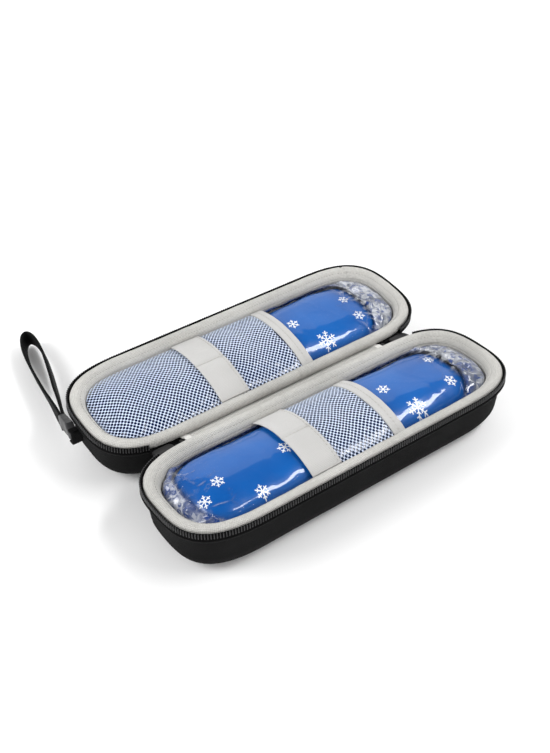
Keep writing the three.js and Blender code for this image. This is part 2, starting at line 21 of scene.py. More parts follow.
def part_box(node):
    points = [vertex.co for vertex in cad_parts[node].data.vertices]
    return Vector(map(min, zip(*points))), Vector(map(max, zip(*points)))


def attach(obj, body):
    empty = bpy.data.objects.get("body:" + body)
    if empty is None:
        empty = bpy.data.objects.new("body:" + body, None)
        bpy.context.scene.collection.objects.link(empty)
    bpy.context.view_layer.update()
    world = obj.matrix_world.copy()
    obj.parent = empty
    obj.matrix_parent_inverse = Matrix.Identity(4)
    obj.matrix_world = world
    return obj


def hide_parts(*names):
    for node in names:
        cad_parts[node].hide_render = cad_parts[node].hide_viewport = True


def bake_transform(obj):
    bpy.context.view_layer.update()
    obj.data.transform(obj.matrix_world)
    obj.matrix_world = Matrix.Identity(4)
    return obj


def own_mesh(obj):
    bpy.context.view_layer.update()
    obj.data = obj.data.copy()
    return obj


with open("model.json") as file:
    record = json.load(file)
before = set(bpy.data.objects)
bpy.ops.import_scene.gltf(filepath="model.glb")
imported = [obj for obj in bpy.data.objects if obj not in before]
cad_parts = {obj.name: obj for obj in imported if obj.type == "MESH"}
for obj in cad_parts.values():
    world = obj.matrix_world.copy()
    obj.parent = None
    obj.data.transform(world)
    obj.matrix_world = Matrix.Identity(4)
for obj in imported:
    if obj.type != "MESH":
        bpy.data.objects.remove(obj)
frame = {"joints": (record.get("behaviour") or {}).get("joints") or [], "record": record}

LOG = logging.getLogger("cooling_case")
MM = 0.001
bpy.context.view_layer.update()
Pair = tuple[float, float]
Colour = tuple[float, float, float]
Flake = tuple[float, float, float, float]
Material = bpy.types.Material
Mesh = bpy.types.Mesh
Piece = bpy.types.Object
Socket = bpy.types.NodeSocket
Tree = bpy.types.NodeTree


class Ends(Enum):
    """How the first and last rows of a skin are closed."""

    OPEN = "left open"
    FAN = "one flat face each"
    PAIRED = "strips across a row that is the same on both sides of its length"
    JOINED = "first row joined to last row"


class Texture(Enum):
    """Kinds of cloth surface."""

    WEAVE = "plain weave"
    RIB = "ribs of knitted elastic"
    TWILL = "slanted twill"


class Wiring:
    """Adds nodes to a node tree and joins their sockets."""

    def __init__(self, tree: Tree) -> None:
        """Keeps the tree that the nodes go into."""
        self.tree = tree

    def feed(self, socket: Socket, value: object) -> None:
        """Links a socket to another one, or sets its plain value.

        Args:
            socket: the socket to feed.
            value: the other socket, or the value.
        """
        if isinstance(value, Socket):
            self.tree.links.new(value, socket)
        else:
            socket.default_value = value

    def add(self, kind: str, inputs: dict | None = None, **settings: object) -> bpy.types.Node:
        """Adds a node.

        Args:
            kind: the node's type name.
            inputs: sockets or values for its inputs, by name or number.
            settings: properties to set on it.

        Returns:
            The new node.
        """
        node = self.tree.nodes.new(kind)
        for key, value in settings.items():
            setattr(node, key, value)
        for key, value in (inputs or {}).items():
            self.feed(node.inputs[key], value)
        return node

    def math(self, operation: str, first: object, *others: object) -> Socket:
        """Works an operation through values, from left to right.

        Args:
            operation: the operation's name.
            first: the first socket or number.
            others: the other sockets or numbers; none for an operation on one value.

        Returns:
            The result's socket.
        """
        result = first
        for other in others or (0.0,):
            result = self.add("ShaderNodeMath", {0: result, 1: other}, operation=operation).outputs[0]
        return result

    def spread(self, value: object, low: float, high: float, start: float, end: float) -> Socket:
        """Maps a value from one range to another, held inside the second.

        Args:
            value: the socket or number to map.
            low: start of the first range.
            high: end of the first range.
            start: start of the second range.
            end: end of the second range.

        Returns:
            The mapped value's socket.
        """
        inputs = dict(enumerate((value, low, high, start, end)))
        return self.add("ShaderNodeMapRange", inputs, clamp=True).outputs[0]

    def mix(self, share: object, first: object, second: object) -> Socket:
        """Mixes two colours.

        Args:
            share: share of the second colour.
            first: the first colour, or its socket.
            second: the second colour, or its socket.

        Returns:
            The mixed colour's socket.
        """
        ends = [(*item, 1.0) if isinstance(item, tuple) else item for item in (first, second)]
        inputs = {0: share, 6: ends[0], 7: ends[1]}
        return self.add("ShaderNodeMix", inputs, data_type="RGBA", clamp_factor=True).outputs[2]

    def noise(self, vector: Socket, scale: object, detail: float) -> bpy.types.Node:
        """Adds a noise texture with a scale and a number of finer layers."""
        return self.add("ShaderNodeTexNoise", {"Vector": vector, "Scale": scale, "Detail": detail})

    def vector(self, operation: str, inputs: dict) -> Socket:
        """Adds a vector math node and returns its vector."""
        return self.add("ShaderNodeVectorMath", inputs, operation=operation).outputs[0]

    def parts(self, vector: Socket) -> bpy.types.NodeOutputs:
        """Splits a vector and returns the sockets of its three parts."""
        return self.add("ShaderNodeSeparateXYZ", {0: vector}).outputs

    def combined(self, **inputs: object) -> Socket:
        """Makes a vector of its X, Y and Z parts, which are 0 unless given."""
        return self.add("ShaderNodeCombineXYZ", inputs).outputs[0]


class Patterns:
    """Shader node groups that several finishes share, each built once."""

    def __init__(self) -> None:
        """Builds every group."""
        fills = {Texture.WEAVE: self.weave, Texture.RIB: self.rib, Texture.TWILL: self.twill}
        self.cloth = {
            texture: self.make(texture.value, "Threads", ("Height",), fill) for texture, fill in fills.items()
        }
        self.tone = self.make("uneven tone", "Scale", ("Tone", "Speck"), self.uneven)
        self.crinkle = self.make("film crinkle", "Scale", ("Height", "Ridge"), self.creases)

    @staticmethod
    def make(name: str, number: str, outputs: Sequence[str], fill: Callable) -> Tree:
        """Makes one group, which has a Vector input and one number input.

        Args:
            name: the group's name.
            number: name of the number input.
            outputs: names of its number outputs.
            fill: function that wires the group's inside.

        Returns:
            The group's tree.
        """
        tree = bpy.data.node_groups.new(name, "ShaderNodeTree")
        tree.interface.new_socket(name="Vector", in_out="INPUT", socket_type="NodeSocketVector")
        tree.interface.new_socket(name=number, in_out="INPUT", socket_type="NodeSocketFloat")
        for key in outputs:
            tree.interface.new_socket(name=key, in_out="OUTPUT", socket_type="NodeSocketFloat")
        wiring = Wiring(tree)
        vector, amount = wiring.add("NodeGroupInput").outputs[:2]
        wiring.add("NodeGroupOutput", dict(zip(outputs, fill(wiring, vector, amount))))
        return tree

    @staticmethod
    def threads(wiring: Wiring, vector: Socket, count: Socket) -> tuple:
        """Splits the surface into threads.

        Args:
            wiring: the group's wiring.
            vector: the surface's coordinates.
            count: threads in a metre.

        Returns:
            The thread counts along and across, and a hump over each thread along and across.
        """
        along, across = wiring.parts(wiring.vector("SCALE", {0: vector, "Scale": count}))[:2]
        humps = [
            wiring.math("SINE", wiring.math("MULTIPLY", wiring.math("FRACT", place), math.pi))
            for place in (along, across)
        ]
        return along, across, *humps

    def weave(self, wiring: Wiring, vector: Socket, count: Socket) -> tuple:
        """Wires a plain weave, in which each thread goes over and under the next.

        Args:
            wiring: the group's wiring.
            vector: the surface's coordinates.
            count: threads in a metre.

        Returns:
            The socket of the cloth's height.
        """
        along, across, *humps = self.threads(wiring, vector, count)
        whole = wiring.math("ADD", wiring.math("FLOOR", along), wiring.math("FLOOR", across))
        over = wiring.math("FLOORED_MODULO", whole, 2.0)
        warp, weft = (
            wiring.math("MULTIPLY", wiring.math("POWER", one, 0.6), wiring.spread(other, 0, 1, 0.4, 1))
            for one, other in (humps, humps[::-1])
        )
        chosen = wiring.math("MULTIPLY", wiring.math("SUBTRACT", warp, weft), over)
        return (wiring.math("ADD", weft, chosen),)

    def rib(self, wiring: Wiring, vector: Socket, count: Socket) -> tuple:
        """Wires the ribs of an elastic, which run along it with small knots.

        Args:
            wiring: the group's wiring.
            vector: the surface's coordinates.
            count: threads in a metre.

        Returns:
            The socket of the cloth's height.
        """
        *_, hump_along, hump_across = self.threads(wiring, vector, count)
        knots = wiring.spread(hump_along, 0, 1, 0.7, 1)
        return (wiring.math("MULTIPLY", wiring.math("POWER", hump_across, 0.7), knots),)

    def twill(self, wiring: Wiring, vector: Socket, count: Socket) -> tuple:
        """Wires slanted lines crossed by threads.

        Args:
            wiring: the group's wiring.
            vector: the surface's coordinates.
            count: threads in a metre.

        Returns:
            The socket of the cloth's height.
        """
        along, across, hump_along, _ = self.threads(wiring, vector, count)
        slant = wiring.math("ADD", along, wiring.math("MULTIPLY", across, 0.5))
        line = wiring.math("ABSOLUTE", wiring.math("SINE", wiring.math("MULTIPLY", slant, math.pi)))
        return (wiring.math("MULTIPLY", line, wiring.spread(hump_along, 0, 1, 0.6, 1)),)

    @staticmethod
    def uneven(wiring: Wiring, vector: Socket, scale: Socket) -> tuple:
        """Wires a slow change of tone and a fine speck.

        Args:
            wiring: the group's wiring.
            vector: the surface's coordinates.
            scale: the pattern's scale.

        Returns:
            The sockets of the tone and the speck.
        """
        slow = wiring.noise(vector, scale, 4.0)
        fine = wiring.noise(vector, wiring.math("MULTIPLY", scale, 45.0), 2.0)
        tone = wiring.spread(slow.outputs[0], 0.35, 0.65, 0, 1)
        return tone, wiring.spread(fine.outputs[0], 0.4, 0.62, 0, 1)

    @staticmethod
    def creases(wiring: Wiring, vector: Socket, scale: Socket) -> tuple:
        """Wires the sharp folds of a stiff thin film, and a mask of their crests.

        Args:
            wiring: the group's wiring.
            vector: the surface's coordinates.
            scale: the pattern's scale.

        Returns:
            The sockets of the folds' height and of the mask.
        """
        bend = wiring.noise(vector, scale, 2.0)
        bent = wiring.vector("MULTIPLY_ADD", {0: bend.outputs["Color"], 1: (0.012, 0.012, 0.012), 2: vector})
        sources = {"Vector": bent, "Scale": scale}
        cells = wiring.add("ShaderNodeTexVoronoi", sources, feature="DISTANCE_TO_EDGE")
        folds = wiring.noise(bent, wiring.math("MULTIPLY", scale, 1.7), 3.0).outputs[0]
        crest = wiring.math("ABSOLUTE", wiring.math("SUBTRACT", folds, 0.5))
        edge = wiring.spread(cells.outputs["Distance"], 0.0, 0.09, 1, 0)
        sharp = wiring.math("POWER", edge, 2.0)
        ridge = wiring.math("MAXIMUM", sharp, wiring.spread(crest, 0.0, 0.02, 0.8, 0))
        return wiring.math("ADD", wiring.math("MULTIPLY", edge, 0.5), folds), ridge


class Surface:
    """A material in the making: its wiring, its shader and its coordinates."""

    def __init__(self, name: str) -> None:
        """Makes an empty material with a principled shader.

        Args:
            name: the material's name.
        """
        self.material = bpy.data.materials.new(name)
        self.material.use_nodes = True
        self.wiring = Wiring(self.material.node_tree)
        self.wiring.tree.nodes.clear()
        self.shader = self.wiring.add("ShaderNodeBsdfPrincipled")
        self.wiring.add("ShaderNodeOutputMaterial", {"Surface": self.shader.outputs[0]})

    def set(self, inputs: dict[str, object]) -> None:
        """Links or sets some of the shader's inputs.

        Args:
            inputs: sockets, numbers or colours, by the inputs' names.
        """
        for name, value in inputs.items():
            if isinstance(value, tuple):
                value = (*value, 1.0)
            self.wiring.feed(self.shader.inputs[name], value)

    def laid(self) -> Socket:
        """Returns the coordinates laid along the surface, in metres."""
        return self.wiring.add("ShaderNodeUVMap", uv_map="UVMap").outputs[0]

    def place(self) -> Socket:
        """Returns the coordinates in space, in metres."""
        return self.wiring.add("ShaderNodeTexCoord").outputs["Object"]

    def pattern(self, tree: Tree, vector: Socket, number: float) -> bpy.types.NodeOutputs:
        """Lays a shared pattern on the surface.

        Args:
            tree: the pattern's group.
            vector: the coordinates that it follows.
            number: its scale or its threads in a metre.

        Returns:
            The pattern's outputs.
        """
        return self.wiring.add("ShaderNodeGroup", {0: vector, 1: number}, node_tree=tree).outputs

    def bump(self, height: Socket, relief: float, strength: float = 1.0) -> None:
        """Bends the shader's normal by a height.

        Args:
            height: the height's socket.
            relief: the height of a value of one, in millimetres.
            strength: share of the effect.
        """
        inputs = {"Strength": strength, "Distance": relief * MM, "Height": height}
        self.set({"Normal": self.wiring.add("ShaderNodeBump", inputs).outputs[0]})


@dataclass(frozen=True)
class Finish:
    """A finish that can be made into a material."""

    name: str

    def make(self, patterns: Patterns) -> Material:
        """Builds the material.

        Args:
            patterns: the shared groups.

        Returns:
            The material.
        """
        surface = Surface(self.name)
        self.wire(surface, surface.wiring, patterns)
        return surface.material

    def wire(self, surface: Surface, wiring: Wiring, patterns: Patterns) -> None:
        """Wires the shader's inputs.

        Args:
            surface: the material in the making.
            wiring: its wiring.
            patterns: the shared groups.
        """
        raise NotImplementedError


@dataclass(frozen=True)
class ClothFinish(Finish):
    """A woven, knitted or twilled cloth."""

    colour: Colour
    # The second colour is the darker colour that both the cloth's own uneven tone and the painted shade in
    # thread gaps mix towards.
    shade: Colour
    texture: Texture
    threads: float
    relief: float
    roughness: float
    sheen: float
    gap_share: float = 0.45
    tone_share: float = 0.35
    tone_scale: float = 40.0
    gloss: float = 0.25

    def wire(self, surface: Surface, wiring: Wiring, patterns: Patterns) -> None:
        """Paints shade into the gaps between threads, and gives the cloth its own uneven tone.

        Args:
            surface: the material in the making.
            wiring: its wiring.
            patterns: the shared groups.
        """
        height = surface.pattern(patterns.cloth[self.texture], surface.laid(), self.threads)["Height"]
        tone = surface.pattern(patterns.tone, surface.place(), self.tone_scale)
        # Painted shade in the gaps between threads; the tone and speck below are the cloth's own.
        gap = wiring.spread(height, 0.0, 0.8, self.gap_share, 0)
        uneven = wiring.math("MULTIPLY", tone["Tone"], self.tone_share)
        speck = wiring.math("MULTIPLY", tone["Speck"], self.tone_share * 0.5)
        share = wiring.math("ADD", uneven, speck, gap)
        surface.set({
            "Base Color": wiring.mix(share, self.colour, self.shade),
            "Roughness": wiring.spread(tone["Tone"], 0, 1, self.roughness - 0.06, self.roughness),
            "Sheen Weight": self.sheen,
            "Sheen Roughness": 0.5,
            "Specular IOR Level": self.gloss,
        })
        surface.bump(height, self.relief)


@dataclass(frozen=True)
class HardFinish(Finish):
    """Moulded plastic, enamel or print with a fine grain and rubbed patches."""

    colour: Colour
    rubbed: Colour
    roughness: float
    coat: float
    grain: float
    grain_scale: float = 60.0

    def wire(self, surface: Surface, wiring: Wiring, patterns: Patterns) -> None:
        """Makes rubbed patches smoother and paler.

        Args:
            surface: the material in the making.
            wiring: its wiring.
            patterns: the shared groups.
        """
        tone = surface.pattern(patterns.tone, surface.place(), self.grain_scale)
        surface.set({
            "Base Color": wiring.mix(tone["Tone"], self.colour, self.rubbed),
            "Roughness": wiring.spread(tone["Tone"], 0, 1, self.roughness, self.roughness * 0.7),
            "Coat Weight": self.coat,
        })
        surface.bump(tone["Speck"], self.grain)


@dataclass(frozen=True)
class GelFinish(Finish):
    """A glossy coloured film that is full of gel."""

    colour: Colour
    deep: Colour
    roughness: float
    relief: float
    tone_scale: float = 30.0
    fold_scale: float = 45.0

    def wire(self, surface: Surface, wiring: Wiring, patterns: Patterns) -> None:
        """Makes slow changes of colour under a gloss with faint folds.

        Args:
            surface: the material in the making.
            wiring: its wiring.
            patterns: the shared groups.
        """
        place = surface.place()
        tone = surface.pattern(patterns.tone, place, self.tone_scale)
        folds = surface.pattern(patterns.crinkle, place, self.fold_scale)
        surface.set({
            "Base Color": wiring.mix(tone["Tone"], self.colour, self.deep),
            "Roughness": wiring.spread(tone["Speck"], 0, 1, self.roughness, self.roughness + 0.1),
            "Specular IOR Level": 0.3,
            "Coat Weight": 1.0,
            "Coat Roughness": 0.05,
        })
        surface.bump(folds["Height"], self.relief, 0.6)


@dataclass(frozen=True)
class FilmFinish(Finish):
    """A clear crinkled film: clear on the pack, creased near its ends with painted glints, silvery past them
    with painted reflection and highlights, painted dark navy where it is loose as the shade of the gap below
    it, and painted dark under the net as the net's shade.

    The mesh says where the film is loose, silvery, creased or under the net, by the attributes in MASKS.
    """

    # The first colour is dark navy, painted as the shade of the gap between the pack and the tray's wall,
    # seen through loose film; some facets at the ends take it too as painted shade.
    deep: Colour
    # The next two colours are the painted silvery reflection of the film past the pack's ends, from dark to
    # pale; the one after them is the colour of its painted highlights.
    dim: Colour
    painted_pale_silver: Colour
    painted_highlight: Colour
    # Colour painted under the net as its shade; the film there turns nearly opaque.
    net_shade: Colour
    clear: float
    cover: float
    facets: float
    relief: float
    fold_scale: float = 90.0
    crease_scale: float = 55.0

    MASKS = ("looseness", "end", "crease", "net_shade")

    def wire(self, surface: Surface, wiring: Wiring, patterns: Patterns) -> None:
        """Paints highlight streaks and lit and shaded facets where the film is silvery, glints along thin
        lines where it is creased, dark shade where it is loose, and shade under the net.

        Args:
            surface: the material in the making.
            wiring: its wiring.
            patterns: the shared groups.
        """
        place = surface.place()
        folds = surface.pattern(patterns.crinkle, place, self.fold_scale)
        lines = surface.pattern(patterns.crinkle, place, self.crease_scale)["Ridge"]
        tone, speck = surface.pattern(patterns.tone, place, self.fold_scale)[:2]
        loose, end, crease, net_shade = (
            wiring.add("ShaderNodeAttribute", attribute_name=name).outputs["Fac"] for name in self.MASKS
        )
        cells = wiring.add("ShaderNodeTexVoronoi", {"Vector": place, "Scale": self.facets})
        chance = wiring.add("ShaderNodeSeparateColor", {0: cells.outputs["Color"]}).outputs[0]
        patches = wiring.math("ADD", wiring.math("MULTIPLY", speck, 0.5), tone)
        # Painted silvery reflection, dark or pale in random patches.
        painted_silver = wiring.mix(wiring.spread(patches, 0.35, 1.05, 0, 1), self.dim, self.painted_pale_silver)
        # Some facets are painted dark navy as shade, the rest silvery.
        shaded = wiring.mix(wiring.spread(chance, 0.1, 0.4, 0.75, 0), painted_silver, self.deep)
        # Painted highlights along fold crests and on some facets, and painted glints along thin crease lines.
        crests = wiring.math("MULTIPLY", folds["Ridge"], wiring.spread(tone, 0.2, 0.8, 0.1, 1))
        shine = wiring.math("MAXIMUM", crests, wiring.spread(chance, 0.7, 0.95, 0, 0.55))
        highlight_streaks = wiring.math("MULTIPLY", shine, wiring.spread(end, 0, 0.6, 0.2, 0.9))
        glint = wiring.math("MULTIPLY", lines, wiring.spread(tone, 0.35, 0.75, 0.05, 0.6), crease)
        bright = wiring.math("MAXIMUM", highlight_streaks, glint)
        # Loose film is painted dark navy as the shade of the gap under it, and lit and shaded facets at the
        # ends; painted highlights go over both.
        colour = wiring.mix(bright, wiring.mix(end, self.deep, shaded), self.painted_highlight)
        # Alpha: the film turns nearly opaque where it is loose, under the net and under its painted
        # highlights, so that its painted shade and highlights show.
        cover = wiring.math("MAXIMUM", loose, net_shade, wiring.math("MULTIPLY", highlight_streaks, end), glint)
        surface.set({
            # Painted shade under the net.
            "Base Color": wiring.mix(net_shade, colour, self.net_shade),
            "Roughness": wiring.spread(speck, 0, 1, 0.06, 0.16),
            "Alpha": wiring.spread(cover, 0, 1, self.clear, self.cover),
            "Coat Weight": 1.0,
            "Coat Roughness": 0.05,
        })
        surface.bump(folds["Height"], self.relief)


class Palette:
    """Every finish of the case, made into materials."""

    FINISHES = (
        ClothFinish("black_cover", (0.0068, 0.0068, 0.0072), (0.003, 0.003, 0.0032), Texture.WEAVE,
                    1900.0, 0.1, 0.85, 0.0, gloss=0.12),
        ClothFinish("grey_cloth", (0.645, 0.635, 0.605), (0.285, 0.28, 0.262), Texture.WEAVE,
                    1200.0, 0.3, 0.92, 0.1, 0.5, 0.28, 20.0),
        ClothFinish("grey_elastic", (0.52, 0.515, 0.505), (0.33, 0.325, 0.315), Texture.RIB,
                    1300.0, 0.1, 0.9, 0.1, 0.3, 0.16),
        ClothFinish("tape_twill", (0.004, 0.004, 0.0043), (0.0015, 0.0015, 0.0016), Texture.TWILL,
                    1800.0, 0.08, 0.85, 0.0, gloss=0.1),
        ClothFinish("tape_edge", (0.009, 0.009, 0.0095), (0.003, 0.003, 0.0032), Texture.WEAVE,
                    1900.0, 0.08, 0.7, 0.0, gloss=0.15),
        ClothFinish("webbing_weave", (0.006, 0.006, 0.0064), (0.002, 0.002, 0.0022), Texture.TWILL,
                    1100.0, 0.16, 0.75, 0.0, gloss=0.15),
        ClothFinish("net_thread", (0.74, 0.82, 0.96), (0.43, 0.52, 0.72), Texture.TWILL,
                    2500.0, 0.03, 0.5, 0.0, 0.2, 0.25, 30.0, 0.5),
        ClothFinish("foam_core", (0.5, 0.51, 0.54), (0.36, 0.37, 0.4), Texture.WEAVE,
                    900.0, 0.1, 0.95, 0.0),
        ClothFinish("grey_thread", (0.52, 0.51, 0.48), (0.34, 0.33, 0.31), Texture.TWILL,
                    3000.0, 0.03, 0.8, 0.1),
        ClothFinish("seam_thread", (0.36, 0.355, 0.335), (0.2, 0.195, 0.185), Texture.TWILL,
                    3000.0, 0.03, 0.8, 0.1),
        ClothFinish("pale_binding", (0.72, 0.71, 0.68), (0.46, 0.45, 0.43), Texture.WEAVE,
                    2200.0, 0.06, 0.9, 0.15, 0.25, 0.12),
        HardFinish("zip_teeth", (0.026, 0.026, 0.027), (0.046, 0.046, 0.048), 0.35, 0.3, 0.008),
        HardFinish("dark_enamel", (0.008, 0.008, 0.0088), (0.015, 0.015, 0.0162), 0.5, 0.1, 0.006),
        HardFinish("smooth_keeper", (0.03, 0.03, 0.032), (0.042, 0.042, 0.045), 0.55, 0.0, 0.015),
        HardFinish("white_print", (0.86, 0.88, 0.9), (0.78, 0.81, 0.85), 0.35, 0.3, 0.006),
        GelFinish("blue_gel", (0.0, 0.108, 0.42), (0.0, 0.082, 0.345), 0.3, 0.2),
        # Clear film: painted dark navy shade where loose, painted silvery reflection and highlights at its
        # ends, painted shade under the net.
        FilmFinish("clear_film", (0.008, 0.045, 0.22), (0.11, 0.125, 0.17), (0.32, 0.34, 0.385),
                   (0.82, 0.84, 0.88), (0.003, 0.02, 0.1), 0.01, 0.94, 430.0, 0.5),
    )

    def __init__(self) -> None:
        """Makes all materials."""
        patterns = Patterns()
        self.made = {finish.name: finish.make(patterns) for finish in self.FINISHES}

    def __getitem__(self, name: str) -> Material:
        """Returns a material by its finish's name."""
        return self.made[name]


@dataclass(frozen=True)
class Outline:
    """Straight sides with superelliptic ends."""

    half_length: float
    half_width: float
    end_length: float
    power: float

    def inset(self, amount: float, end_share: float = 1.0) -> "Outline":
        """Moves the outline in.

        Args:
            amount: how far its sides and tips move.
            end_share: share of the amount that its ends' length loses.

        Returns:
            The smaller outline.
        """
        return Outline(
            self.half_length - amount,
            self.half_width - amount,
            self.end_length - amount * end_share,
            self.power,
        )

    def at(self, steps: np.ndarray) -> np.ndarray:
        """Finds points on the outline.

        Args:
            steps: places round it, from its right tip, in six steps: a quarter end, a side, two quarter
                ends, a side and a quarter end.

        Returns:
            One row of x and y for each step.
        """
        steps = np.mod(steps, 6.0)
        part = np.floor(steps).astype(int)
        share = steps - part
        straight = self.half_length - self.end_length
        turn = share * math.pi / 2
        fall = np.abs(np.cos(turn)) ** (2 / self.power)
        climb = np.abs(np.sin(turn)) ** (2 / self.power)
        near = straight + self.end_length * fall
        far = straight + self.end_length * climb
        along = straight * (1 - 2 * share)
        flat = np.ones_like(share)
        chosen = [part == index for index in range(6)]
        x = np.select(chosen, [near, along, -far, -near, -along, far])
        y = np.select(chosen, [climb, flat, fall, -climb, -flat, -fall])
        return np.stack([x, y * self.half_width], axis=1)

    def even_steps(self, count: int, start: float = 0.0, end: float = 6.0) -> np.ndarray:
        """Finds steps at equal distances along the outline.

        Args:
            count: how many steps to give.
            start: the first step.
            end: the last step, which is left out after a whole round, because it meets the first.

        Returns:
            The steps.
        """
        fine = np.linspace(start, end, 6001)
        gone = distances(self.at(fine))
        return np.interp(np.linspace(0, gone[-1], count, endpoint=end - start != 6.0), gone, fine)


def distances(points: np.ndarray) -> np.ndarray:
    """Finds how far along a line of points each of them lies."""
    return np.concatenate([[0.0], np.cumsum(np.linalg.norm(np.diff(points, axis=0), axis=1))])


def directions(path: np.ndarray) -> np.ndarray:
    """Finds the unit direction of a path at each of its points."""
    way = np.gradient(path, axis=0)
    return way / np.linalg.norm(way, axis=1, keepdims=True)


def moved(mesh: Mesh, *place: float) -> Mesh:
    """Moves a mesh by x, y and z in millimetres and returns it."""
    mesh.transform(Matrix.Translation(Vector(place) * MM))
    return mesh


def leaning(middle: Vector, lean: float) -> Matrix:
    """Returns the matrix of a frame with a middle, turned about the part's X axis."""
    return Matrix.Translation(middle) @ Matrix.Rotation(lean, 4, "X")


def smooth_line(points: Sequence[Sequence[float]], count: int) -> np.ndarray:
    """Draws a smooth line through points.

    Args:
        points: the points, in order.
        count: how many points to give back.

    Returns:
        Points at even steps along the line.
    """
    known = np.array(points, float)
    gone = distances(known)
    slopes = np.gradient(known, gone, axis=0)
    wanted = np.linspace(0, gone[-1], count)
    index = np.clip(np.searchsorted(gone, wanted, side="right") - 1, 0, len(known) - 2)
    span = (gone[index + 1] - gone[index])[:, None]
    t = (wanted - gone[index])[:, None] / span
    return (
        (2 * t**3 - 3 * t**2 + 1) * known[index]
        + (t**3 - 2 * t**2 + t) * span * slopes[index]
        + (3 * t**2 - 2 * t**3) * known[index + 1]
        + (t**3 - t**2) * span * slopes[index + 1]
    )


def rings(
    outline: Outline, profile: Sequence[Pair], steps: np.ndarray, end_share: float = 1.0
) -> np.ndarray:
    """Makes one ring of points for each row of a profile.

    Args:
        outline: the outline that the insets are measured from.
        profile: rows of inset and depth.
        steps: places round the outline.
        end_share: how much of an inset the ends lose.

    Returns:
        Points by row and step.
    """
    return np.array([
        np.column_stack([outline.inset(inset, end_share).at(steps), np.full(len(steps), -depth)])
        for inset, depth in profile
    ])


def facing(rows: np.ndarray, closed: bool = False) -> np.ndarray:
    """Finds the outward direction at each point of a skin of rings.

    Args:
        rows: points by row and step.
        closed: whether the last row meets the first.

    Returns:
        Unit vectors of the same shape.
    """
    along = np.roll(rows, -1, 1) - np.roll(rows, 1, 1)
    across = np.roll(rows, -1, 0) - np.roll(rows, 1, 0) if closed else np.gradient(rows, axis=0)
    normal = np.cross(along, across)
    if (rows * normal).sum() < 0:
        normal = -normal
    return normal / np.maximum(np.linalg.norm(normal, axis=2, keepdims=True), 1e-9)


def swollen(rows: np.ndarray, amount: np.ndarray, closed: bool = False) -> np.ndarray:
    """Moves a skin's points outwards by an amount at each, with the other arguments of facing."""
    return rows + facing(rows, closed) * amount[..., None]


def wrinkle(points: np.ndarray, spacing: Sequence[float], seed: float) -> np.ndarray:
    """Makes smooth noise from -1 to 1 at points.

    Args:
        points: points in millimetres.
        spacing: distance between waves along each axis.
        seed: shifts the noise.

    Returns:
        One value for each point.
    """
    shifted = points.reshape(-1, 3) / np.array(spacing, float) + np.array([17.3, 41.9, 7.7]) * seed
    return np.array([noise.noise(place) for place in shifted.tolist()]).reshape(points.shape[:-1])


def ridges(points: np.ndarray, spacing: Sequence[float], seed: float) -> np.ndarray:
    """Makes sharp crests from 0 to 1 at points, with the arguments of wrinkle."""
    return (1 - np.abs(wrinkle(points, spacing, seed))) ** 5


def crumple(points: np.ndarray, pitch: float, seed: float) -> np.ndarray:
    """Makes the flat facets and sharp creases of crushed film at points.

    Args:
        points: points in millimetres.
        pitch: size of the smallest facets.
        seed: shifts the creases.

    Returns:
        One value from about -1 to 1 for each point.
    """
    total = np.zeros(points.shape[:-1])
    weights = 0.0
    for index in range(6):
        angle = seed * 1.7 + index * 2.4
        period = pitch * (1 + 0.45 * index)
        bend = wrinkle(points, (pitch * 4,) * 3, seed + index)
        across = points[..., 0] * math.cos(angle) + points[..., 1] * math.sin(angle)
        fold = np.abs(np.mod(across / period + 0.5 * bend + 0.37 * index, 1) * 2 - 1) * 2 - 1
        total += fold * period
        weights += period
    return total / weights * 2.2


def raw_mesh(name: str, points: Sequence, faces: Sequence, laid: Sequence) -> Mesh:
    """Makes a smooth mesh.

    Args:
        name: its name.
        points: its points in metres.
        faces: the points of each face.
        laid: coordinates along the surface of each face's corners, in metres, all in one list.

    Returns:
        The mesh.
    """
    mesh = bpy.data.meshes.new(name)
    mesh.from_pydata(points, [], faces)
    mesh.uv_layers.new(name="UVMap").data.foreach_set("uv", np.array(laid).ravel())
    mesh.shade_smooth()
    mesh.update()
    return mesh


def covers(width: int, ends: Ends) -> list[list[int]]:
    """Lists the faces that close an end row.

    Args:
        width: how many points the row has.
        ends: how the row is closed.

    Returns:
        The faces' corners, as places in the row.
    """
    if ends is Ends.FAN:
        return [list(range(width))]
    if ends is not Ends.PAIRED:
        return []
    half = width // 2
    strips = [[i, i + 1, width - i - 1, width - i] for i in range(1, half - 1)]
    return [[0, 1, width - 1], [half - 1, half, half + 1], *strips]


def laps(rows: np.ndarray, axis: int) -> np.ndarray:
    """Finds the mean distance gone at each step along an axis of a skin, in metres."""
    steps = np.linalg.norm(np.roll(rows, -1, axis) - rows, axis=2).mean(1 - axis)
    return np.concatenate([[0.0], np.cumsum(steps)]) * MM


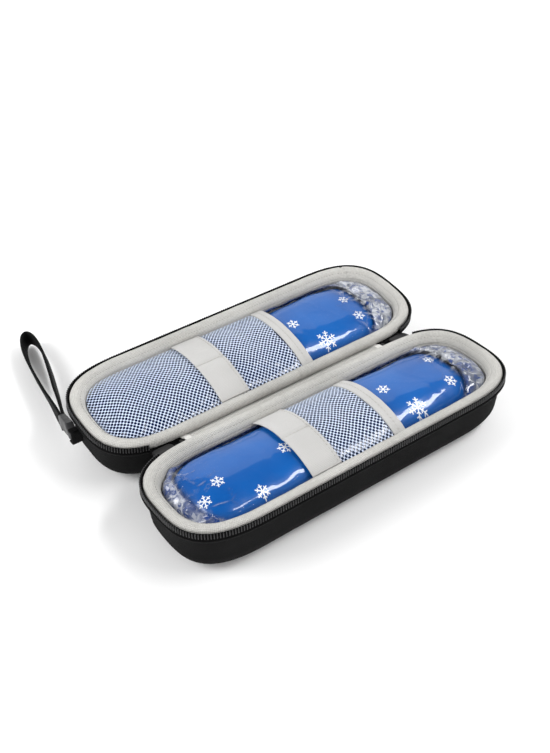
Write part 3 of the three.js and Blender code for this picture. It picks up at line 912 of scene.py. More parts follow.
def skin(rows: np.ndarray, ends: Ends) -> Mesh:
    """Makes a smooth mesh over rings of points, with coordinates along its surface in metres.

    Args:
        rows: points by row and step, in millimetres.
        ends: how the first and last rows are closed.

    Returns:
        The mesh, facing outwards if it is closed.
    """
    height, width = rows.shape[:2]
    points = rows.reshape(-1, 3) * MM
    along, across = laps(rows, 1), laps(rows, 0)
    faces = []
    laid = []
    for r in range(height if ends is Ends.JOINED else height - 1):
        for c in range(width):
            corners = ((r, c), (r, c + 1), (r + 1, c + 1), (r + 1, c))
            faces.append([row % height * width + column % width for row, column in corners])
            laid.append([(along[column], across[row]) for row, column in corners])
    for start, order in (((height - 1) * width, 1), (0, -1)):
        for cover in covers(width, ends):
            faces.append([start + i for i in cover[::order]])
            laid.append([tuple(points[i][:2]) for i in faces[-1]])
    volume = sum(
        np.dot(points[face[0]], np.cross(points[face[i]], points[face[i + 1]]))
        for face in faces
        for i in range(1, len(face) - 1)
    )
    order = -1 if volume < 0 else 1
    corners = [corner for face in laid for corner in face[::order]]
    return raw_mesh("skin", points.tolist(), [face[::order] for face in faces], corners)


def joined(meshes: Sequence[Mesh]) -> Mesh:
    """Puts several meshes into one, with their coordinates along the surface.

    Args:
        meshes: the meshes.

    Returns:
        The one mesh.
    """
    points: list = []
    faces: list = []
    laid: list = []
    for mesh in meshes:
        start = len(points)
        points += [tuple(vertex.co) for vertex in mesh.vertices]
        faces += [[start + i for i in polygon.vertices] for polygon in mesh.polygons]
        laid += [tuple(item.uv) for item in mesh.uv_layers["UVMap"].data]
    return raw_mesh("joined", points, faces, laid)


def show(name: str, mesh: Mesh, material: Material, place: Matrix | None = None) -> Piece:
    """Puts a mesh into the scene as a piece at the origin.

    Args:
        name: the piece's name.
        mesh: its mesh.
        material: its finish.
        place: matrix that puts the mesh in its place.

    Returns:
        The piece.
    """
    if place is not None:
        mesh.transform(place)
    mesh.name = name
    mesh.materials.clear()
    mesh.materials.append(material)
    mesh.set_sharp_from_angle(angle=math.radians(50))
    piece = bpy.data.objects.new(name, mesh)
    bpy.context.scene.collection.objects.link(piece)
    return piece


def carry(piece: Piece, body: str, slot: str, *nodes: str) -> Piece:
    """Lets a piece move with a body and stand for its solids.

    Args:
        piece: the piece.
        body: the body that it rides on.
        slot: the record's finish; not used.
        nodes: the solids that it stands for.

    Returns:
        The piece.
    """
    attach(piece, body)
    if nodes:
        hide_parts(*nodes)
    LOG.info("%s rides on %s", piece.name, body)
    return piece


class Repeats:
    """Geometry node trees that repeat a shape along paths, over a surface or in a lattice."""

    def __init__(self) -> None:
        """Builds the three trees."""
        self.path = self.make("shape along path", ("Pitch",), (), self.fill_path)
        self.print = self.make("print on surface", ("Lift",), ("Ground",), self.fill_print)
        self.lattice = self.make("staggered lattice", ("Length", "Width", "Pitch"), (), self.fill_lattice)

    @staticmethod
    def make(name: str, numbers: Sequence[str], things: Sequence[str], fill: Callable) -> Tree:
        """Makes a tree that takes a geometry, numbers, objects and a material.

        Args:
            name: the tree's name.
            numbers: names of its number inputs.
            things: names of its object inputs, besides the repeated shape.
            fill: function that wires the repeats.

        Returns:
            The tree.
        """
        tree = bpy.data.node_groups.new(name, "GeometryNodeTree")
        for kind, keys in (
            ("Geometry", ("Geometry",)),
            ("Float", numbers),
            ("Object", ("Shape", *things)),
            ("Material", ("Material",)),
        ):
            for key in keys:
                tree.interface.new_socket(name=key, in_out="INPUT", socket_type=f"NodeSocket{kind}")
        tree.interface.new_socket(name="Result", in_out="OUTPUT", socket_type="NodeSocketGeometry")
        wiring = Wiring(tree)
        inputs = wiring.add("NodeGroupInput").outputs
        dressed = {"Geometry": fill(wiring, inputs), "Material": inputs["Material"]}
        wiring.add("NodeGroupOutput", {0: wiring.add("GeometryNodeSetMaterial", dressed).outputs[0]})
        return tree

    @staticmethod
    def put(wiring: Wiring, inputs: object, points: Socket, **options: Socket) -> Socket:
        """Puts the repeated shape at points, as real geometry.

        Args:
            wiring: the tree's wiring.
            inputs: the tree's inputs.
            points: the points.
            options: the shapes' Rotation and Scale, where they aren't plain.

        Returns:
            The shapes' socket.
        """
        shape = wiring.add("GeometryNodeObjectInfo", {"Object": inputs["Shape"]}).outputs["Geometry"]
        sources = {"Points": points, "Instance": shape, **options}
        shapes = wiring.add("GeometryNodeInstanceOnPoints", sources).outputs[0]
        return wiring.add("GeometryNodeRealizeInstances", {"Geometry": shapes}).outputs[0]

    @staticmethod
    def number(wiring: Wiring, name: str) -> Socket:
        """Reads a number that each point has and returns its socket."""
        node = wiring.add("GeometryNodeInputNamedAttribute", {"Name": name}, data_type="FLOAT")
        return next(socket for socket in node.outputs if socket.enabled and socket.name == "Attribute")

    def fill_path(self, wiring: Wiring, inputs: object) -> Socket:
        """Wires a shape at even steps along paths, upright, with its length along them.

        Args:
            wiring: the tree's wiring.
            inputs: the tree's inputs.

        Returns:
            The shapes' socket.
        """
        curve = wiring.add("GeometryNodeMeshToCurve", {"Mesh": inputs["Geometry"]}).outputs[0]
        spacing = {"Curve": curve, "Length": inputs["Pitch"]}
        points = wiring.add("GeometryNodeCurveToPoints", spacing, mode="LENGTH").outputs
        way = {"Vector": points["Tangent"]}
        turn = wiring.add("FunctionNodeAlignRotationToVector", way, axis="X", pivot_axis="Z").outputs[0]
        return self.put(wiring, inputs, points["Points"], Rotation=turn)

    def fill_print(self, wiring: Wiring, inputs: object) -> Socket:
        """Wires flat shapes that drop onto the ground below them, each with its own size and turn.

        Args:
            wiring: the tree's wiring.
            inputs: the tree's inputs.

        Returns:
            The shapes' socket.
        """
        angles = wiring.combined(Z=self.number(wiring, "turn"))
        turn = wiring.add("FunctionNodeEulerToRotation", {0: angles}).outputs[0]
        size = self.number(wiring, "size")
        shapes = self.put(wiring, inputs, inputs["Geometry"], Rotation=turn, Scale=size)
        here = wiring.parts(wiring.add("GeometryNodeInputPosition").outputs[0])
        ground = wiring.add("GeometryNodeObjectInfo", {"Object": inputs["Ground"]}).outputs["Geometry"]
        ray = {
            "Target Geometry": ground,
            "Source Position": wiring.combined(X=here[0], Y=here[1], Z=0.02),
            "Ray Direction": (0.0, 0.0, -1.0),
            "Ray Length": 0.06,
        }
        cast = wiring.add("GeometryNodeRaycast", ray).outputs
        lift = wiring.combined(Z=wiring.math("ADD", here[2], inputs["Lift"]))
        landed = wiring.vector("ADD", {0: cast["Hit Position"], 1: lift})
        change = {"Geometry": shapes, "Selection": cast["Is Hit"], "Position": landed}
        return wiring.add("GeometryNodeSetPosition", change).outputs[0]

    def fill_lattice(self, wiring: Wiring, inputs: object) -> Socket:
        """Wires a rectangle full of a shape in staggered rows, welded to one another.

        Args:
            wiring: the tree's wiring.
            inputs: the tree's inputs.

        Returns:
            The shapes' socket.
        """
        length, width, pitch = (inputs[key] for key in ("Length", "Width", "Pitch"))
        half = wiring.math("MULTIPLY", pitch, 0.5)
        columns, lines = (
            wiring.math("ADD", wiring.math("ROUND", wiring.math("DIVIDE", size, step)), 1.0)
            for size, step in ((length, half), (width, pitch))
        )
        sides = {"Size X": length, "Size Y": width, "Vertices X": columns, "Vertices Y": lines}
        grid = wiring.add("GeometryNodeMeshGrid", sides).outputs["Mesh"]
        index = wiring.add("GeometryNodeInputIndex").outputs[0]
        column = wiring.math("FLOOR", wiring.math("DIVIDE", index, lines))
        odd = wiring.math("FLOORED_MODULO", column, 2.0)
        shift = wiring.combined(Y=wiring.math("MULTIPLY", wiring.math("SUBTRACT", odd, 0.5), half))
        points = wiring.add("GeometryNodeSetPosition", {"Geometry": grid, "Offset": shift}).outputs[0]
        shapes = self.put(wiring, inputs, points)
        weld = {"Geometry": shapes, "Distance": wiring.math("MULTIPLY", pitch, 0.06)}
        return wiring.add("GeometryNodeMergeByDistance", weld).outputs[0]

    @staticmethod
    def run(tree: Tree, carrier: Mesh, values: dict) -> Mesh:
        """Runs a tree and gives its result as a plain mesh.

        Args:
            tree: the tree.
            carrier: the mesh that it starts from.
            values: values of its inputs by name; a mesh stands for an object that has it.

        Returns:
            The mesh that the tree makes.
        """
        spare = [bpy.data.objects.new("carrier", carrier)]
        modifier = spare[0].modifiers.new("repeat", "NODES")
        modifier.node_group = tree
        for item in tree.interface.items_tree:
            if item.name in values:
                value = values[item.name]
                if isinstance(value, Mesh):
                    value = bpy.data.objects.new("repeated_shape", value)
                    spare.append(value)
                modifier[item.identifier] = value
        for thing in spare:
            bpy.context.scene.collection.objects.link(thing)
        state = bpy.context.evaluated_depsgraph_get()
        mesh = bpy.data.meshes.new_from_object(spare[0].evaluated_get(state))
        for thing in spare:
            bpy.data.objects.remove(thing)
        mesh.shade_smooth()
        return mesh

    def along(self, paths: Sequence[np.ndarray], shape: Mesh, pitch: float, material: Material) -> Mesh:
        """Repeats a shape along paths.

        Args:
            paths: points of each path, in millimetres.
            shape: the shape, whose length lies along X.
            pitch: distance between shapes, in millimetres.
            material: their finish.

        Returns:
            One mesh with every shape.
        """
        edges = []
        start = 0
        for path in paths:
            edges += [(i, i + 1) for i in range(start, start + len(path) - 1)]
            start += len(path)
        carrier = bpy.data.meshes.new("paths")
        carrier.from_pydata((np.concatenate(paths) * MM).tolist(), edges, [])
        return self.run(self.path, carrier, {"Pitch": pitch * MM, "Shape": shape, "Material": material})

    def printed(
        self, spots: Sequence[Flake], shape: Mesh, ground: Mesh, lift: float, material: Material
    ) -> Mesh:
        """Prints a flat shape on a surface.

        Args:
            spots: x, y, size and turn of each print, in millimetres and degrees.
            shape: the flat shape, one millimetre in radius.
            ground: the mesh that it lands on.
            lift: height over the surface, in millimetres.
            material: the print's finish.

        Returns:
            One mesh with every print.
        """
        carrier = bpy.data.meshes.new("spots")
        carrier.from_pydata([(x * MM, y * MM, 0.0) for x, y, _, _ in spots], [], [])
        for name, column, factor in (("size", 2, 1.0), ("turn", 3, math.pi / 180)):
            numbers = carrier.attributes.new(name, "FLOAT", "POINT")
            numbers.data.foreach_set("value", [spot[column] * factor for spot in spots])
        values = {"Lift": lift * MM, "Shape": shape, "Ground": ground.copy(), "Material": material}
        return self.run(self.print, carrier, values)

    def net(self, length: float, width: float, pitch: float, shape: Mesh, material: Material) -> Mesh:
        """Fills a flat rectangle with a shape in staggered rows.

        Args:
            length: its length along X, in millimetres.
            width: its width along Y, in millimetres.
            pitch: distance between shapes, in millimetres.
            shape: the shape.
            material: its finish.

        Returns:
            The lattice, centred on the origin.
        """
        sizes = {"Length": length * MM, "Width": width * MM, "Pitch": pitch * MM}
        values = {**sizes, "Shape": shape, "Material": material}
        return self.run(self.lattice, bpy.data.meshes.new("start"), values)


def bar(length: float, width: float, height: float) -> Mesh:
    """Makes a small rounded bar along X, such as a stitch or a tooth.

    Args:
        length: its length in millimetres.
        width: its width.
        height: its height.

    Returns:
        The bar's mesh.
    """
    turns = np.linspace(0, 2 * math.pi, 8, endpoint=False) + math.pi / 8
    stations = ((-0.5, 0.45), (-0.36, 0.95), (0.36, 0.95), (0.5, 0.45))
    circle = np.column_stack([np.ones(8), np.cos(turns), np.sin(turns)])
    rows = [circle * (along * length, share * width / 2, share * height / 2) for along, share in stations]
    return skin(np.array(rows), Ends.FAN)


def snowflake(branches: Sequence[Pair], stroke: float) -> Mesh:
    """Makes a flat six-armed snowflake, one millimetre in radius, in short steps that can follow a surface.

    Args:
        branches: place along an arm and length of each pair of branches.
        stroke: half the width of its lines.

    Returns:
        The snowflake's mesh.
    """
    thick = 0.006
    strokes = [((0.04, 0.0), (1.0, 0.0), stroke)]
    for start, reach in branches:
        for side in (1, -1):
            tip = (start + reach * math.cos(math.pi / 3), side * reach * math.sin(math.pi / 3))
            strokes.append(((start, 0.0), tip, stroke * 0.85))
    meshes = []
    for arm in range(6):
        for first, last, half in strokes:
            way = np.subtract(last, first)
            side = np.array([-way[1], way[0]]) / np.linalg.norm(way) * half
            rows = []
            for share in np.linspace(0, 1, 7 if last[1] == 0 else 3):
                low, high = first + way * share - side, first + way * share + side
                rows.append([(*low, 0.0), (*high, 0.0), (*high, thick), (*low, thick)])
            meshes.append(skin(np.array(rows), Ends.FAN))
            meshes[-1].transform(Matrix.Rotation(arm * math.pi / 3, 4, "Z"))
    return joined(meshes)


def net_cell(pitch: float, hole: float, thick: float) -> Mesh:
    """Makes one cell of the net: a diamond with a round hole and rounded strands.

    Args:
        pitch: length of the diamond, in millimetres.
        hole: the hole's radius.
        thick: the strands' thickness.

    Returns:
        The cell's mesh, with no side walls, because it is welded to its neighbours.
    """
    turns = [(math.cos(step * math.pi / 6), math.sin(step * math.pi / 6)) for step in range(12)]
    reaches = [pitch / 2 / (abs(x) + abs(y)) for x, y in turns]
    lower, upper = (
        [(x * reach, y * reach, height) for (x, y), reach in zip(turns, reaches)]
        for height in (-thick / 2, thick / 2)
    )
    mesh = skin(np.array([lower, [(x * hole, y * hole, 0.0) for x, y in turns], upper]), Ends.OPEN)
    if mesh.polygons[0].normal.z > 0:
        mesh.flip_normals()
    return mesh


def rounded_section(width: float, height: float, corner: float, steps: int = 3) -> np.ndarray:
    """Draws a rectangle with round corners.

    Args:
        width: its size along the first axis, in millimetres.
        height: its size along the second axis.
        corner: radius of its corners.
        steps: points along each corner.

    Returns:
        Points round it.
    """
    points = []
    for quarter, (x, y) in enumerate(((1, 1), (-1, 1), (-1, -1), (1, -1))):
        for step in range(steps):
            turn = (quarter + step / (steps - 1)) * math.pi / 2
            reach = (x * (width / 2 - corner), y * (height / 2 - corner))
            points.append((reach[0] + corner * math.cos(turn), reach[1] + corner * math.sin(turn)))
    return np.array(points)


def pad(outline: Outline, profile: Sequence[Pair]) -> Mesh:
    """Makes a small rounded block.

    Args:
        outline: its outline.
        profile: rows of inset and height, from its underside to its top.

    Returns:
        The block's mesh.
    """
    rows = [(inset, -height) for inset, height in profile]
    return skin(rings(outline, rows, outline.even_steps(48)), Ends.PAIRED)


def block(half_length: float, half_width: float, low: float, high: float, edge: float) -> Mesh:
    """Makes a rounded block that is centred along and across.

    Args:
        half_length: half its length, in millimetres.
        half_width: half its width.
        low: height of its underside.
        high: height of its top.
        edge: how far its edges are rounded.

    Returns:
        The block's mesh.
    """
    short = min(half_length, half_width)
    corner = [(short * 0.8, 0.0), (edge, 0.0), (edge * 0.3, edge * 0.3), (0.0, edge)]
    profile = [(inset, low + rise) for inset, rise in corner]
    profile += [(inset, high - rise) for inset, rise in corner[::-1]]
    return pad(Outline(half_length, half_width, short * 0.95, 5.0), profile)


@dataclass(frozen=True)
class HalfSizes:
    """Sizes that both halves share, in millimetres; insets are from the rim's outline."""

    depth: float = 32.0
    end_length: float = 44.0
    end_power: float = 2.95
    shell_top: float = 6.4
    shell_top_inset: float = 0.3
    shell_low_inset: float = 1.6
    shell_wall: float = 2.5
    fillet: float = 12.4
    floor_inset: float = 19.0
    fit: float = 0.35
    rim_height: float = 5.0
    rim_columns: int = 420
    tape_reach: float = 1.2
    tape_thick: float = 0.5
    tape_leg: float = 3.0
    tape_top: float = 1.0
    tape_depth: float = 6.1
    tape_columns: int = 220
    piping: float = 0.42
    tooth_pitch: float = 1.45
    tooth_height: float = 3.4
    tooth_depth: float = 1.3
    tooth_thick: float = 0.6
    tooth_inset: float = -1.1
    tooth_middle: float = 2.6
    tooth_columns: int = 500
    lining_inset: float = 6.75
    lining_thick: float = 0.9
    lining_lip: float = 5.2
    pack_half_length: float = 88.5
    pack_half_width: float = 24.4
    pack_end: float = 28.0
    pack_power: float = 3.4
    pack_shift: float = -3.5
    pack_top: float = 3.1
    pack_bottom: float = 23.0
    pack_gap: float = 0.5
    print_lift: float = 0.04
    film_half_length: float = 97.0
    film_half_width: float = 25.7
    film_end: float = 36.4
    film_margin: float = 0.6
    film_gap: float = 0.15
    film_crush: float = 1.3
    film_pucker: float = 0.7
    net_middle: float = 2.1
    net_drop: float = 3.2
    net_slope: float = 18.0
    net_reach: float = 93.0
    net_gap: float = 0.35
    net_pitch: float = 2.43
    net_hole: float = 0.76
    net_thick: float = 0.32
    net_lift: float = 0.3
    net_wave: float = 0.45
    net_sway: float = 1.1
    strip_half: float = 25.6
    strip_stretch: float = 1.06
    hem_width: float = 7.3
    hem_thick: float = 1.2
    band_width: float = 18.0
    band_thick: float = 1.0
    band_lift: float = 1.05
    band_edge: float = 1.7
    seam_dip: float = 0.5
    stitch_pitch: float = 2.3
    stitch_lift: float = 0.1
    swell_power: float = 2.6
    swell_end: float = 68.0
    seam_inset: float = 5.42
    seam_depth: float = 1.47
    seam_pitch: float = 1.9
    columns: int = 260


@dataclass(frozen=True)
class HalfPlan:
    """What is different between the halves, in millimetres.

    The hinge side is 1 where the hinge lies on the half's +Y side, otherwise -1. Each seam has its place
    along the case and its side, and each snowflake has x, y, size and turn in degrees.
    """

    name: str
    hinge_side: int
    net_start: float
    band_start: float
    hem_start: float
    swell: float
    seams: tuple[tuple[float, int], ...]
    small_flakes: tuple[Flake, ...]
    big_flakes: tuple[Flake, ...]


class Half:
    """One half of the case: cover, padding, zip, lining, gel pack, film, net and elastics."""

    def __init__(self, plan: HalfPlan, mount: dict, palette: Palette, repeats: Repeats) -> None:
        """Finds the half's place from the flat face on its back.

        Args:
            plan: what is different about this half.
            mount: the record's mount on its back.
            palette: the finishes.
            repeats: the geometry node trees.
        """
        self.plan = plan
        self.name = plan.name
        self.sizes = HalfSizes()
        axis = Vector(mount["axis"])
        self.place = leaning(Vector(mount["pos_m"]) - axis * self.sizes.depth * MM, math.asin(axis.y))
        _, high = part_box("base_rim_roll")
        self.outline = Outline(high.x / MM, high.y / MM, self.sizes.end_length, self.sizes.end_power)
        self.round = self.outline.even_steps(self.sizes.columns)
        self.palette = palette
        self.repeats = repeats
        self.seed = 1.0 if plan.hinge_side > 0 else 2.0

    def piece(self, name: str, mesh: Mesh, finish: str, slot: str, *nodes: str) -> Piece:
        """Shows a mesh of this half in its place.

        Args:
            name: the piece's name without the half's.
            mesh: its mesh in the half's own frame.
            finish: its finish.
            slot: the record's finish.
            nodes: names of the solids that it stands for, without the half's.

        Returns:
            The piece.
        """
        made = show(f"{self.name}_{name}", mesh, self.palette[finish], self.place)
        return carry(made, self.name, slot, *(f"{self.name}_{node}" for node in nodes))

    def arc(self, radius: float, count: int) -> list[Pair]:
        """Draws the rounded bottom edge of a wall.

        Args:
            radius: the arc's radius.
            count: how many points it has.

        Returns:
            Rows of inset and depth.
        """
        inset = self.sizes.shell_low_inset + self.sizes.fillet
        depth = self.sizes.depth - self.sizes.fillet
        turns = np.linspace(0, math.pi / 2, count)
        return [(inset - radius * math.cos(turn), depth + radius * math.sin(turn)) for turn in turns]

    def cover(self) -> None:
        """Builds the moulded cloth cover with its rolled top edge."""
        sizes = self.sizes
        roll = sizes.shell_wall / 2
        middle = sizes.shell_top_inset + roll
        inner = self.arc(sizes.fillet - sizes.shell_wall, 12)
        inner = [(sizes.floor_inset, inner[-1][1]), *inner[::-1]]
        edge = [
            (middle + roll * math.cos(turn), sizes.shell_top + roll - roll * math.sin(turn))
            for turn in np.linspace(0, math.pi, 9)
        ]
        outer = [*self.arc(sizes.fillet, 16), (sizes.floor_inset, sizes.depth)]
        walls = np.linspace(edge[-1], outer[0], 6)[1:-1]
        rows = rings(self.outline, [*inner, *edge, *walls, *outer], self.round)
        soft = 0.16 * wrinkle(rows, (26, 26, 15), self.seed) + 0.05 * wrinkle(rows, (7, 7, 5), self.seed + 4)
        soft[: len(inner)] = 0
        soft *= np.clip((sizes.depth - 0.6 + rows[:, :, 2]) / 6, 0, 1)
        self.piece("cover", skin(swollen(rows, soft), Ends.PAIRED), "black_cover", "black_fabric", "shell")

    def lining_side(self, thick: float) -> np.ndarray:
        """Draws one side of the lining, from its lip to its floor.

        Args:
            thick: how far the side lies outside the lining's inner face.

        Returns:
            Rows of inset and depth.
        """
        inset = self.sizes.lining_inset + self.sizes.lining_thick - thick
        points = [
            (inset, self.sizes.lining_lip), (inset + 0.3, 12.0), (inset + 1.2, 19.8 + thick * 0.4),
            (inset + 3.6, 23.1 + thick), (20.0, 24.0 + thick),
        ]
        return smooth_line(points, 20)

    def inside(self) -> None:
        """Builds the foam under the lining, and the lining with its turned lip."""
        sizes = self.sizes
        foam_top = sizes.rim_height + sizes.fit
        foam_inner = self.lining_side(sizes.lining_thick + sizes.fit)
        foam_inner[:, 1] = np.maximum(foam_inner[:, 1], foam_top)
        gap = sizes.shell_wall + sizes.fit
        foam_outer = [
            (sizes.shell_top_inset + gap + 0.3, foam_top + 1.2),
            *self.arc(sizes.fillet - gap, 10),
            (sizes.floor_inset, sizes.depth - gap),
        ]
        rows = rings(self.outline, [*foam_inner[::-1], *foam_outer], self.round)
        foam = self.piece("foam_core", skin(rows, Ends.PAIRED), "foam_core", "foam", "insulation")
        inner = self.lining_side(0.0)
        half = sizes.lining_thick / 2
        lip = [
            (inner[0][0] - half + half * math.cos(turn), sizes.lining_lip - half * math.sin(turn))
            for turn in np.linspace(0.3, math.pi - 0.3, 5)
        ]
        profile = [*inner[::-1], *lip, *self.lining_side(sizes.lining_thick)]
        rows = rings(self.outline, profile, self.round)
        soft = 0.22 * ridges(rows, (9, 9, 30), self.seed) * np.clip((-rows[:, :, 2] - 4) / 4, 0, 1)
        soft[len(inner):] = 0
        cloth = skin(swollen(rows, soft), Ends.PAIRED)
        lining = self.piece("lining_cloth", cloth, "grey_cloth", "grey_fabric", "lining")

    def rim(self) -> None:
        """Builds the padded rim: a domed roll, a sewn crease and an inner lip, with joints in its binding."""
        sizes = self.sizes
        section = [
            (0.25, 5.0), (0.02, 4.3), (0.0, 3.2), (0.06, 2.3), (0.35, 1.35), (0.9, 0.62), (1.75, 0.15),
            (2.75, 0.0), (3.75, 0.14), (4.55, 0.52), (5.02, 0.98), (5.25, 1.32), (5.42, 1.45), (5.7, 1.58),
            (6.2, 2.0), (6.75, 2.75), (7.2, 3.6), (7.42, 4.5), (7.3, 5.0), (3.4, 5.0),
        ]
        steps = self.outline.even_steps(sizes.rim_columns)
        rows = rings(self.outline, section, steps)
        x, y, z = np.moveaxis(rows, 2, 0)
        soft = 0.16 * wrinkle(rows, (11, 11, 40), self.seed)
        soft += 0.07 * wrinkle(rows, (3.5, 3.5, 20), self.seed + 5)
        for along, side in self.plan.seams:
            near = (np.sign(y) == side) & (np.abs(y) > self.outline.half_width * 0.55)
            soft -= near * 0.75 * np.exp(-(((x - along) / 0.55) ** 2))
            soft += near * (x > along) * 0.16 * np.exp(-np.abs(x - along) / 7)
        soft *= np.clip((z + sizes.rim_height) / 2.0 - 0.2, 0, 1)
        padding = skin(swollen(rows, soft, True), Ends.JOINED)
        rim = self.piece("rim_padding", padding, "grey_cloth", "grey_fabric", "rim_roll")
        path = rings(self.outline, [(sizes.seam_inset, sizes.seam_depth)], steps)
        finish = self.palette["seam_thread"]
        thread = self.repeats.along(path, bar(1.15, 0.4, 0.3), sizes.seam_pitch, finish)
        self.piece("rim_stitches", thread, "seam_thread", "grey_fabric")

    def zip_path(self, inset: float, depth: float, count: int) -> np.ndarray:
        """Draws a path round the three zipped sides.

        Args:
            inset: how far it lies inside the rim's outline.
            depth: how far it lies below the rim's plane.
            count: how many points it has.

        Returns:
            The path's points.
        """
        path = rings(self.outline, [(inset, depth)], self.outline.even_steps(count, 6.75, 2.25))[0]
        return path * (1, self.plan.hinge_side, 1)

    def zip(self) -> None:
        """Builds the zip's tape, its piped lower edge and its teeth."""
        sizes = self.sizes
        reach, thick = sizes.tape_reach, sizes.tape_thick
        top, low = sizes.tape_top, sizes.tape_depth
        tape = [
            (0.15 - reach, top), (thick - reach, top), (thick - reach, low - thick),
            (sizes.tape_leg, low - thick), (sizes.tape_leg, low), (0.2 - reach, low), (-reach, low - 0.2),
            (-reach, top + 0.2),
        ]
        pipe = [
            (sizes.piping * math.cos(turn) - reach - 0.1, sizes.piping * math.sin(turn) + low - 0.3)
            for turn in np.linspace(0, 2 * math.pi, 8, endpoint=False)
        ]
        for name, section, finish, nodes in (
            ("tape_cloth", tape, "tape_twill", ["zip_tape"]),
            ("tape_piping", pipe, "tape_edge", []),
        ):
            paths = [self.zip_path(inset, depth, sizes.tape_columns) for inset, depth in section]
            self.piece(name, skin(np.stack(paths, axis=1), Ends.FAN), finish, "zip_tape", *nodes)
        tooth = bar(sizes.tooth_height, sizes.tooth_depth, sizes.tooth_thick)
        tooth.transform(Matrix.Rotation(math.pi / 2, 4, "Y"))
        path = self.zip_path(sizes.tooth_inset, sizes.tooth_middle, sizes.tooth_columns)
        teeth = self.repeats.along([path], tooth, sizes.tooth_pitch, self.palette["zip_teeth"])
        self.piece("zip_teeth", teeth, "zip_teeth", "zip_coil", "zip_coil")

    def pillow_rows(self, outline: Outline, shares: Sequence[Pair], low: float, columns: int) -> np.ndarray:
        """Draws a pillow that swells with the pack.

        Args:
            outline: its outline.
            shares: rows of inset, as a share of half its width, and depth.
            low: depth at which its swelling starts.
            columns: points round it.

        Returns:
            Points by row and step, from the middle of its top to the middle of its underside.
        """
        profile = smooth_line([(share * outline.half_width, depth) for share, depth in shares], 72)
        rows = rings(outline, profile, outline.even_steps(columns), 0.5)
        upper = np.clip((rows[:, :, 2] + low) / (low - shares[0][1]), 0, 1)
        rows[:, :, 2] += self.rise(rows[:, :, 0], rows[:, :, 1]) * upper
        return rows

    def rise(self, along: np.ndarray, across: np.ndarray) -> np.ndarray:
        """Finds how far the full pack swells above the shut case's height.

        Args:
            along: places along the case.
            across: places across it.

        Returns:
            Heights at each place.
        """
        sizes = self.sizes
        side = np.minimum(np.abs(across) / sizes.strip_half, 1)
        past = np.maximum(np.abs(along) - sizes.swell_end, 0)
        end = np.minimum(past / (sizes.film_half_length - sizes.swell_end), 1)
        return self.plan.swell * (1 - side**sizes.swell_power) * (1 - end**2)

    def yielding(self, *pieces: Piece) -> None:
        """Gives each soft piece a mesh of its own.

        Args:
            pieces: the pieces.
        """
        for piece in pieces:
            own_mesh(piece)

    def lumps(self, rows: np.ndarray) -> np.ndarray:
        """Finds how far the gel bulges or sinks at each point: slow lumps, folds and crumpled sides.

        Args:
            rows: points by row and step.

        Returns:
            Heights at each point.
        """
        slow = 0.32 * wrinkle(rows, (30, 17, 30), self.seed + 2)
        fold = 0.2 * ridges(rows, (16, 34, 40), self.seed + 7)
        ends = np.clip((np.abs(rows[:, :, 0]) - 58) / 25, 0, 1)
        sides = np.clip(np.abs(rows[:, :, 1]) / self.sizes.pack_half_width / 0.3 - 1.6, 0, 1)
        return slow - fold * (0.5 + ends) + 0.45 * crumple(rows, 13.0, self.seed + 17) * sides

    def pack(self) -> Piece:
        """Builds the gel pack, its printed snowflakes and the clear film round it.

        Returns:
            The film.
        """
        sizes = self.sizes
        top, bottom = sizes.pack_top, sizes.pack_bottom
        middle = (top + bottom) / 2
        outline = Outline(sizes.pack_half_length, sizes.pack_half_width, sizes.pack_end, sizes.pack_power)
        shares = (
            (0.985, top), (0.82, top), (0.55, top + 0.15), (0.36, top + 0.55), (0.22, top + 1.3),
            (0.12, top + 2.4), (0.04, top + 4.8), (0.0, middle), (0.05, bottom - 3.6), (0.17, bottom - 0.9),
            (0.35, bottom), (0.68, bottom),
        )
        rows = self.pillow_rows(outline, shares, middle, sizes.columns)
        rows = swollen(rows, self.lumps(rows)) + (sizes.pack_shift, 0, 0)
        mesh = skin(self.under_net(rows, sizes.pack_gap), Ends.PAIRED)
        finish = self.palette["white_print"]
        flakes = joined([
            self.repeats.printed(spots, snowflake(branches, stroke), mesh, sizes.print_lift, finish)
            for spots, branches, stroke in (
                (self.plan.small_flakes, ((0.56, 0.32),), 0.075),
                (self.plan.big_flakes, ((0.38, 0.24), (0.66, 0.28)), 0.05),
            )
        ])
        pillow = self.piece("gel_pillow", mesh, "blue_gel", "blue_gel", "gel_pack")
        printed = self.piece("snow_print", flakes, "white_print", "blue_gel")
        film = self.piece("film_bag", self.film(outline), "clear_film", "clear_film", "pack_sleeve")
        self.yielding(pillow, printed, film)
        return film

    def film(self, pack: Outline) -> Mesh:
        """Makes the clear film, which lies on the pack and is crushed between the pack and the tray's walls.

        Args:
            pack: the pack's outline.

        Returns:
            The film's mesh, with masks for its finish.
        """
        sizes = self.sizes
        top = sizes.pack_top - sizes.film_margin
        bottom = sizes.pack_bottom + sizes.film_margin * 0.6
        outline = Outline(sizes.film_half_length, sizes.film_half_width, sizes.film_end, sizes.end_power)
        shares = (
            (0.985, top), (0.7, top), (0.5, top + 0.1), (0.33, top + 0.45), (0.22, top + 1.0),
            (0.13, top + 1.6), (0.06, top + 2.4), (0.02, top + 3.6), (0.0, top + 6.0), (0.0, bottom - 6.0),
            (0.05, bottom - 2.4), (0.17, bottom - 0.4), (0.35, bottom), (0.68, bottom),
        )
        rows = self.pillow_rows(outline, shares, (top + bottom) / 2, 2 * sizes.columns)
        x, y, z = np.moveaxis(rows, 2, 0)
        beyond = np.abs(x - sizes.pack_shift)
        past = np.maximum(beyond - (pack.half_length - pack.end_length), 0) / pack.end_length
        reach = (past**pack.power + (np.abs(y) / pack.half_width) ** pack.power) ** (1 / pack.power)
        end = np.clip((beyond - (pack.half_length - 12)) / 6, 0, 1)
        start = np.where(y < 0, 0.98, 0.91) * (1 - end) + np.where(x > 0, 0.77, 0.9) * end
